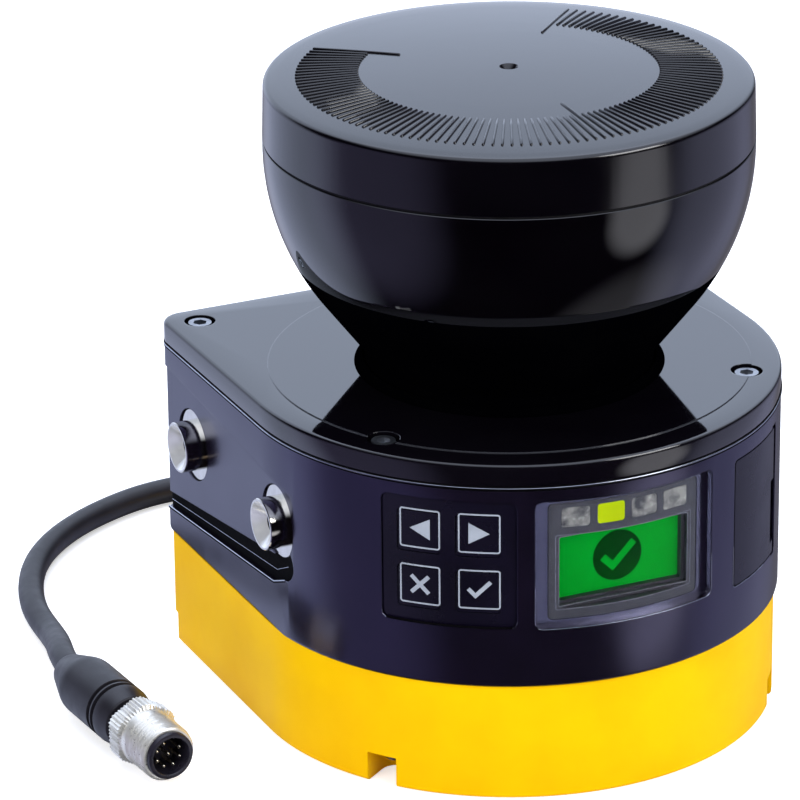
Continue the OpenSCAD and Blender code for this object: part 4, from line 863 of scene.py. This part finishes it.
def vary_colour(tree, shader, place, dark, light, per_mm):
    """Soft noise between two colours; per_mm is how many patches there are to a millimetre."""
    noise = add(tree, "TexNoise", {"Vector": place}, Scale=per_mm / MM, Detail=3.0)
    ramp = add(tree, "ValToRGB", {"Fac": noise.outputs["Fac"]})
    ramp.color_ramp.elements[0].position, ramp.color_ramp.elements[1].position = 0.35, 0.65
    ramp.color_ramp.elements[0].color = colour(dark)
    ramp.color_ramp.elements[1].color = colour(light)
    tree.links.new(ramp.outputs["Color"], shader.inputs["Base Color"])


def vary_roughness(tree, shader, place, low, high, per_mm):
    """Roughness that drifts between two values, as handling and moulding leave it."""
    noise = add(tree, "TexNoise", {"Vector": place}, Scale=per_mm / MM, Detail=4.0)
    reach = add(tree, "MapRange", {"Value": noise.outputs["Fac"]}, From_Min=0.3, From_Max=0.7,
                To_Min=low, To_Max=high)
    tree.links.new(reach.outputs["Result"], shader.inputs["Roughness"])


def add_grain(tree, shader, place, width_mm, depth_mm, links=None):
    """Bumps of a real width and depth; links may chain them after a rounded edge."""
    noise = add(tree, "TexNoise", {"Vector": place}, Scale=1 / (width_mm * MM), Detail=2.0)
    bump = add(tree, "Bump", {"Height": noise.outputs["Fac"], **(links or {})}, Strength=1.0,
               Distance=depth_mm * MM)
    tree.links.new(bump.outputs["Normal"], shader.inputs["Normal"])


print("yellow casting in linear light:", [round(v, 3) for v in colour("#f5c60a")])

# %% [markdown]
# ## Castings: powder coat over aluminium
#
# The housing and the base are die castings with a fine powder coat. A coat like this has a grain
# of about half a millimetre that breaks up the highlight, and it is a little smoother where hands
# rub it. The black one is a warm black, and the blue cast of the room's light in its reflections is
# painted in as a blue tint of its reflections. The yellow one is the signal yellow of safety parts,
# which hardly mirrors at all. The cover plate's lacquer is much smoother than both, and the
# keypad's plastic has the finest grain.

# %% Powder coats
def powder_coat(name, dark, light, rough_low, rough_high, grain_mm, depth_mm, edge_mm=0.35,
                specular=0.5, coat=0.0, tint="#ffffff"):
    """Grain as bump, wide soft patches in the colour, rubbed roughness. The edges of a casting
    are never quite sharp: a Bevel node rounds how they catch the light."""
    material, tree, shader, place = new_finish(name, light, rough_low, IOR=1.58,
                                               Specular_IOR_Level=specular, Coat_Weight=coat,
                                               Coat_Roughness=rough_low,
                                               Specular_Tint=colour(tint))
    vary_colour(tree, shader, place, dark, light, 0.05)
    vary_roughness(tree, shader, place, rough_low, rough_high, 0.12)
    bevel = add(tree, "Bevel", settings={"samples": 4}, Radius=edge_mm * MM)
    add_grain(tree, shader, place, grain_mm, depth_mm, {"Normal": bevel.outputs["Normal"]})
    return material


# The blue tint of this coat's reflections is painted: it stands in for the blue cast of the light.
black_coat = powder_coat("black_powder_coat", "#0c0812", "#120c1a", 0.18, 0.26, 0.5, 0.004,
                         specular=0.9, coat=0.2, tint="#cdcaff")
yellow_coat = powder_coat("yellow_powder_coat", "#f0b802", "#f6c202", 0.3, 0.4, 0.5, 0.008,
                          specular=0.02)
plate_coat = powder_coat("cover_plate_lacquer", "#060409", "#09070c", 0.03, 0.055, 0.4, 0.001,
                         coat=0.6)
keypad_plastic = powder_coat("keypad_abs", "#0c0916", "#100c1c", 0.2, 0.3, 0.3, 0.004, 0.2,
                             specular=0.3)
print("coats made:", [m.name for m in (black_coat, yellow_coat, plate_coat, keypad_plastic)])

# %% [markdown]
# ## Optics plastic, rubber, metal and the rest
#
# The optics cover is a polished polycarbonate that lets infrared light through and mirrors the
# room in black, all but its light trap. Nickel-plated brass is bright with a faint warm cast. The
# cable's sheath and the plug's body are moulded PVC, nearly matt, with a fine leathery grain.
# Each gets the roughness that its surface has in the hand. Many of the numbers are a low and a
# high roughness, the patches to a millimetre and the share of metal.

# %% Other finishes
def plain_finish(name, dark, light, low, high, patch, metallic=0.0, grain=None, **values):
    """Finish with soft colour patches and drifting roughness; grain is its width and depth."""
    material, tree, shader, place = new_finish(name, light, low, metallic, **values)
    vary_colour(tree, shader, place, dark, light, patch)
    vary_roughness(tree, shader, place, low, high, patch * 2)
    if grain:
        add_grain(tree, shader, place, *grain)
    return material


optics_gloss = plain_finish("polished_ir_polycarbonate", "#020103", "#040305", 0.02, 0.05, 0.05,
                            IOR=1.58, Coat_Weight=0.4, Coat_Roughness=0.02)
cone_black = plain_finish("light_trap_polycarbonate", "#010102", "#020203", 0.04, 0.07, 0.05,
                          IOR=1.58, Specular_IOR_Level=0.0)
cap_gloss = plain_finish("cap_polycarbonate", "#030205", "#060408", 0.12, 0.18, 0.05, IOR=1.58,
                         Coat_Weight=0.4, Coat_Roughness=0.1)
nickel = plain_finish("nickel_plated_brass", "#e0dcd4", "#ece8e0", 0.06, 0.14, 0.6, 1.0)
nickel_satin = plain_finish("satin_nickel", "#e4e1d8", "#f2f0e9", 0.26, 0.38, 0.6, 0.7)
turned_cone = plain_finish("turned_countersink", "#f0f0f0", "#fafafa", 0.12, 0.2, 0.2, 0.6)
screw_steel = plain_finish("zinc_plated_steel", "#9da0a6", "#b4b7bc", 0.3, 0.42, 0.8, 1.0)
aluminium = plain_finish("turned_aluminium", "#c5c8cc", "#d3d5d8", 0.3, 0.4, 0.5, 1.0)
seal_rubber = plain_finish("seal_rubber", "#0b0a0c", "#121114", 0.55, 0.7, 0.6)
frame_plastic = plain_finish("satin_grey_abs", "#211f2a", "#2c2a35", 0.35, 0.45, 0.5)
# Matt black that hardly mirrors, for painted shade: lines in the seam and sheets in the guide slots.
painted_shade_black = plain_finish("painted_shade_matt_black", "#040305", "#080709", 0.7, 0.8, 0.6,
                            Specular_IOR_Level=0.05)
inner_black = plain_finish("moulded_black_pbt", "#18171a", "#201f23", 0.4, 0.5, 0.5)
insert_plastic = plain_finish("polished_black_tpu", "#1c1a22", "#25222c", 0.25, 0.35, 0.4)
# Bright metal for painted highlights: the beads along edges and slot lips.
painted_edge_highlight = plain_finish("painted_edge_highlight_metal", "#b9bdc8", "#d0d4de", 0.1, 0.2, 0.4, 1.0)
mirror_glass = plain_finish("front_silvered_mirror", "#d9dcdf", "#e4e6e8", 0.02, 0.04, 0.2, 1.0)
copper = plain_finish("enamelled_copper_wire", "#a5562a", "#b8672f", 0.28, 0.36, 1.5, 1.0)
gold = plain_finish("gold_plated_contact", "#f1e7c8", "#fbf4de", 0.12, 0.2, 2.0, 1.0)
board_green = plain_finish("fr4_solder_mask", "#14492c", "#1b5a36", 0.3, 0.4, 0.3)
cable_pvc = plain_finish("moulded_pvc", "#19171c", "#211f25", 0.34, 0.46, 0.2, grain=(0.35, 0.01))
lamp_dark = plain_finish("dark_lamp_diffuser", "#26252c", "#85827d", 0.12, 0.3, 0.36)
key_ink = plain_finish("screen_printed_ink", "#8f959f", "#9ba1ab", 0.4, 0.5, 0.3)
# Paler than the frame plastic, so that the lips' pale lines are partly painted highlight.
lip_highlight_plastic = plain_finish("painted_highlight_abs_lip", "#4e4d5b", "#5e5d6b", 0.25, 0.35, 0.3)
print("materials so far:", len(bpy.data.materials))

# %% [markdown]
# ## Clear and glowing parts
#
# A pane of real polycarbonate bends light by 1.58 and mirrors about a twentieth of it, which lays
# a pale veil over the screen behind it. Product shots are lit so that this veil falls elsewhere.
# Here the pane's index is set so low that it hardly mirrors at all. The lit screen and the lamps
# are diffusers that give a little light of their own.

# %% Clear and glowing finishes
def clear_pane(name):
    """Thin clear sheet, faintly grey; its low index keeps the veil of reflections away."""
    material, tree, shader, place = new_finish(name, "#f2f4f6", 0.03, IOR=1.08,
                                               Specular_IOR_Level=0.2, Transmission_Weight=1.0)
    vary_roughness(tree, shader, place, 0.02, 0.05, 0.1)
    return material


def glowing(name, dark, light, glow, strength):
    """Diffuser lit from behind: a colour that also gives light of its own, and no mirror."""
    material, tree, shader, place = new_finish(name, light, 0.4, Emission_Strength=strength,
                                               Specular_IOR_Level=0.0)
    shader.inputs["Emission Color"].default_value = colour(glow)
    vary_colour(tree, shader, place, dark, light, 0.1)
    return material


pane_clear, lens_glass = clear_pane("clear_polycarbonate"), clear_pane("coated_lens_glass")
screen_green = glowing("backlit_green_screen", "#017c1c", "#028622", "#008a18", 0.25)
screen_dark = glowing("dark_screen_field", "#022c0c", "#053a0c", "#02300c", 0.1)
lamp_lit = glowing("lit_lamp_diffuser", "#98a90c", "#a2b50e", "#a0b20a", 0.32)
finishes = {
    "yellow_casting": yellow_coat, "black_casting": black_coat, "black_plate": plate_coat,
    "optics_plastic": optics_gloss, "cap_plastic": cap_gloss, "keypad_plastic": keypad_plastic,
    "black_rubber": seal_rubber, "bright_steel": nickel, "screw_steel": screw_steel,
    "aluminium": aluminium, "window_clear": pane_clear, "frame_plastic": frame_plastic,
    "screen_green": screen_green, "lamp_dark": lamp_dark, "lamp_lit": lamp_lit,
    "circuit_board": board_green, "lens_glass": lens_glass, "mirror_glass": mirror_glass,
    "copper_winding": copper, "contact_gold": gold}
print("finishes by slot:", len(finishes))

# %% [markdown]
# ## Finishes for the parts from the frame
#
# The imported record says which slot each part's finish comes from, so one loop gives every carried
# part its material, and another one gives each new piece its own. The optics shell and the turned
# bushes have a second finish, on the faces that were picked out when they were made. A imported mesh
# is made of loose triangles. Welding them in a modifier and marking only the edges that meet at
# more than 30 degrees lets round walls shade as round, and doesn't touch the mesh itself.

# %% Dress the frame
def smooth_group():
    """Geometry nodes: weld the triangles, keep an edge sharp where it bends past 30 degrees."""
    tree = bpy.data.node_groups.new("weld_and_smooth", "GeometryNodeTree")
    tree.interface.new_socket("Geometry", in_out="INPUT", socket_type="NodeSocketGeometry")
    tree.interface.new_socket("Geometry", in_out="OUTPUT", socket_type="NodeSocketGeometry")
    start, end = tree.nodes.new("NodeGroupInput"), tree.nodes.new("NodeGroupOutput")
    weld = tree.nodes.new("GeometryNodeMergeByDistance")
    weld.inputs["Distance"].default_value = 0.002 * MM
    faces, edges = (tree.nodes.new("GeometryNodeSetShadeSmooth") for _ in range(2))
    edges.domain = "EDGE"
    angle = tree.nodes.new("GeometryNodeInputMeshEdgeAngle")
    less = tree.nodes.new("FunctionNodeCompare")
    less.operation = "LESS_THAN"
    less.inputs[1].default_value = radians(30)
    for source, target in ((start.outputs[0], weld.inputs[0]), (weld.outputs[0], faces.inputs[0]),
                           (faces.outputs[0], edges.inputs[0]), (angle.outputs[0], less.inputs[0]),
                           (less.outputs[0], edges.inputs["Shade Smooth"]),
                           (edges.outputs[0], end.inputs[0])):
        tree.links.new(source, target)
    return tree


weld_and_smooth = smooth_group()
slots = {part["node"]: part["material_slot"] for part in frame["record"]["subparts"]}
for name, node in nodes.items():
    node.data.materials.clear()
    node.data.materials.append(finishes[slots[name]])
    node.modifiers.new("weld_and_smooth", "NODES").node_group = weld_and_smooth
looks = {
    cable: cable_pvc, moulded_body: cable_pvc, insert_tube: insert_plastic, pins: gold,
    coupling: nickel_satin, turned_left: nickel, turned_right: nickel,
    optics_shell: optics_gloss, foot_cove: cone_black, scale_cap: cap_gloss,
    gland_nut: inner_black, ribbed_relief: seal_rubber, edge_beads: painted_edge_highlight,
    seam_shade_lines: painted_shade_black, slot_strips: painted_shade_black, slot_lines: painted_edge_highlight,
    screen_disc: screen_dark, screen_tick: screen_green, frame_lips: lip_highlight_plastic}
looks.update({mark: key_ink for mark in ink_marks})
for piece, finish in looks.items():
    piece.data.materials.append(finish)
for piece, inside in second_faces.items():
    piece.data.materials.append(cone_black if piece == optics_shell else turned_cone)
    piece.data.polygons.foreach_set("material_index", inside.astype(np.int32))
print("slots in use:", sorted(set(slots.values())))

# %% [markdown]
# ## Floor, lamps and background
#
# The scanner stands on a white table in a white room. Large soft lamps from the left and above
# light it, but they are not mirrored, all but one small strip lamp: the black parts get their long
# pale reflections from soft cards, and on a black glossy thing it is the reflections, and not the
# light, that show its form. The white room is seen by the camera and through clear panes. All other
# rays meet black felt with a few soft cards, which both light the object and give its polished
# parts something to mirror: in an all-white room, black plastic would look grey.

# %% Floor, lamps, world
LAMP_AIM = Vector((0, 0, 60))
FLOOR_GLOW = 0.55


def make_floor():
    """Large level square a hair below the object. It glows for the camera only, so that it
    fades into the white room."""
    edge = 3000
    floor = new_piece("floor", [(-edge, -edge, 0), (edge, -edge, 0), (edge, edge, 0),
                                (-edge, edge, 0)], [(0, 1, 2, 3)])
    floor.location.z = -0.02 * MM
    material, tree, shader, place = new_finish("white_table", "#f4f4f5", 0.6)
    vary_colour(tree, shader, place, "#f2f2f4", "#f6f6f7", 0.01)
    path = add(tree, "LightPath")
    seen = add(tree, "Math", {0: path.outputs["Is Camera Ray"]}, {"operation": "MULTIPLY"})
    seen.inputs[1].default_value = FLOOR_GLOW
    tree.links.new(seen.outputs[0], shader.inputs["Emission Strength"])
    shader.inputs["Emission Color"].default_value = colour("#ffffff")
    floor.data.materials.append(material)
    floor.visible_glossy = False


def soft_lamp(name, place, width, height, power):
    """Area lamp at a place in mm, aimed at the object's middle."""
    light = bpy.data.lights.new(name, "AREA")
    light.shape, light.size, light.size_y = "RECTANGLE", width * MM, height * MM
    light.energy = power
    lamp = bpy.data.objects.new(name, light)
    lamp.location = Vector(place) * MM
    lamp.rotation_mode = "QUATERNION"
    lamp.rotation_quaternion = (LAMP_AIM - Vector(place)).to_track_quat("-Z", "Y")
    lamp.visible_glossy = False
    bpy.context.scene.collection.objects.link(lamp)
    return lamp


def make_world(cards):
    """White for the camera and through clear panes, else black felt with a few soft cards. A card
    is brightest where the cosine of the angle to its middle is near 1."""
    world = bpy.data.worlds.new("white_room")
    bpy.context.scene.world = world
    world.use_nodes = True
    tree = world.node_tree
    tree.nodes.clear()
    path = add(tree, "LightPath")
    both = add(tree, "Math", {0: path.outputs["Is Camera Ray"],
                              1: path.outputs["Is Transmission Ray"]}, {"operation": "MAXIMUM"})
    place = add(tree, "TexCoord").outputs["Generated"]
    sky = add(tree, "Background", Color=colour("#08060a"), Strength=1.0)
    for middle, full, none, hexcode, strength in cards:
        toward = add(tree, "VectorMath", {0: place}, {"operation": "DOT_PRODUCT"})
        toward.inputs[1].default_value = Vector(middle).normalized()
        reach = add(tree, "MapRange", {"Value": toward.outputs["Value"]},
                    {"interpolation_type": "SMOOTHSTEP"}, From_Min=none, From_Max=full,
                    To_Max=strength)
        lit = add(tree, "Background", {"Strength": reach.outputs["Result"]},
                  Color=colour(hexcode))
        sky = add(tree, "AddShader", {0: sky.outputs[0], 1: lit.outputs[0]})
    white = add(tree, "Background", Color=colour("#ffffff"), Strength=1.0)
    mix = add(tree, "MixShader", {0: both.outputs[0], 1: sky.outputs[0], 2: white.outputs[0]})
    add(tree, "OutputWorld", {"Surface": mix.outputs[0]})


studio_cards = [  # middle of the card, cosine where full, cosine where gone, colour, strength
    ((0.25, 0.80, 0.55), 0.90, 0.60, "#cfdcf4", 1.5),
    ((0.10, -0.10, 0.99), 0.90, 0.50, "#dde6fa", 1.5),
    ((-0.45, 0.82, -0.35), 0.97, 0.72, "#c2ccea", 1.15),
    ((-0.92, 0.07, -0.37), 0.97, 0.74, "#9c98c4", 0.6),
    ((0.93, 0.00, -0.37), 0.96, 0.76, "#b2b5d6", 0.85),
    ((0.565, -0.73, -0.37), 0.99, 0.95, "#d4d4dc", 1.5),
    ((0.45, -0.20, -0.87), 0.985, 0.90, "#c4c4cc", 0.36),
    ((0.40, 0.83, -0.37), 0.97, 0.80, "#8a8894", 0.7)]
make_floor()
make_world(studio_cards)
lamps = {name: soft_lamp(name, *values) for name, *values in (
    ("key_lamp", (-1100, -450, 620), 800, 700, 10),
    ("top_lamp", (100, 100, 1100), 900, 900, 3),
    ("fill_lamp", (450, -1050, 400), 800, 700, 4.5),
    ("strip_lamp", (420, -620, 520), 420, 300, 2.4))}
# The only lamp that is mirrored: it draws the bright streaks on the plug and the plate.
lamps["strip_lamp"].visible_glossy = True
bpy.context.scene.view_settings.view_transform = "Standard"
print("lamps:", list(lamps))
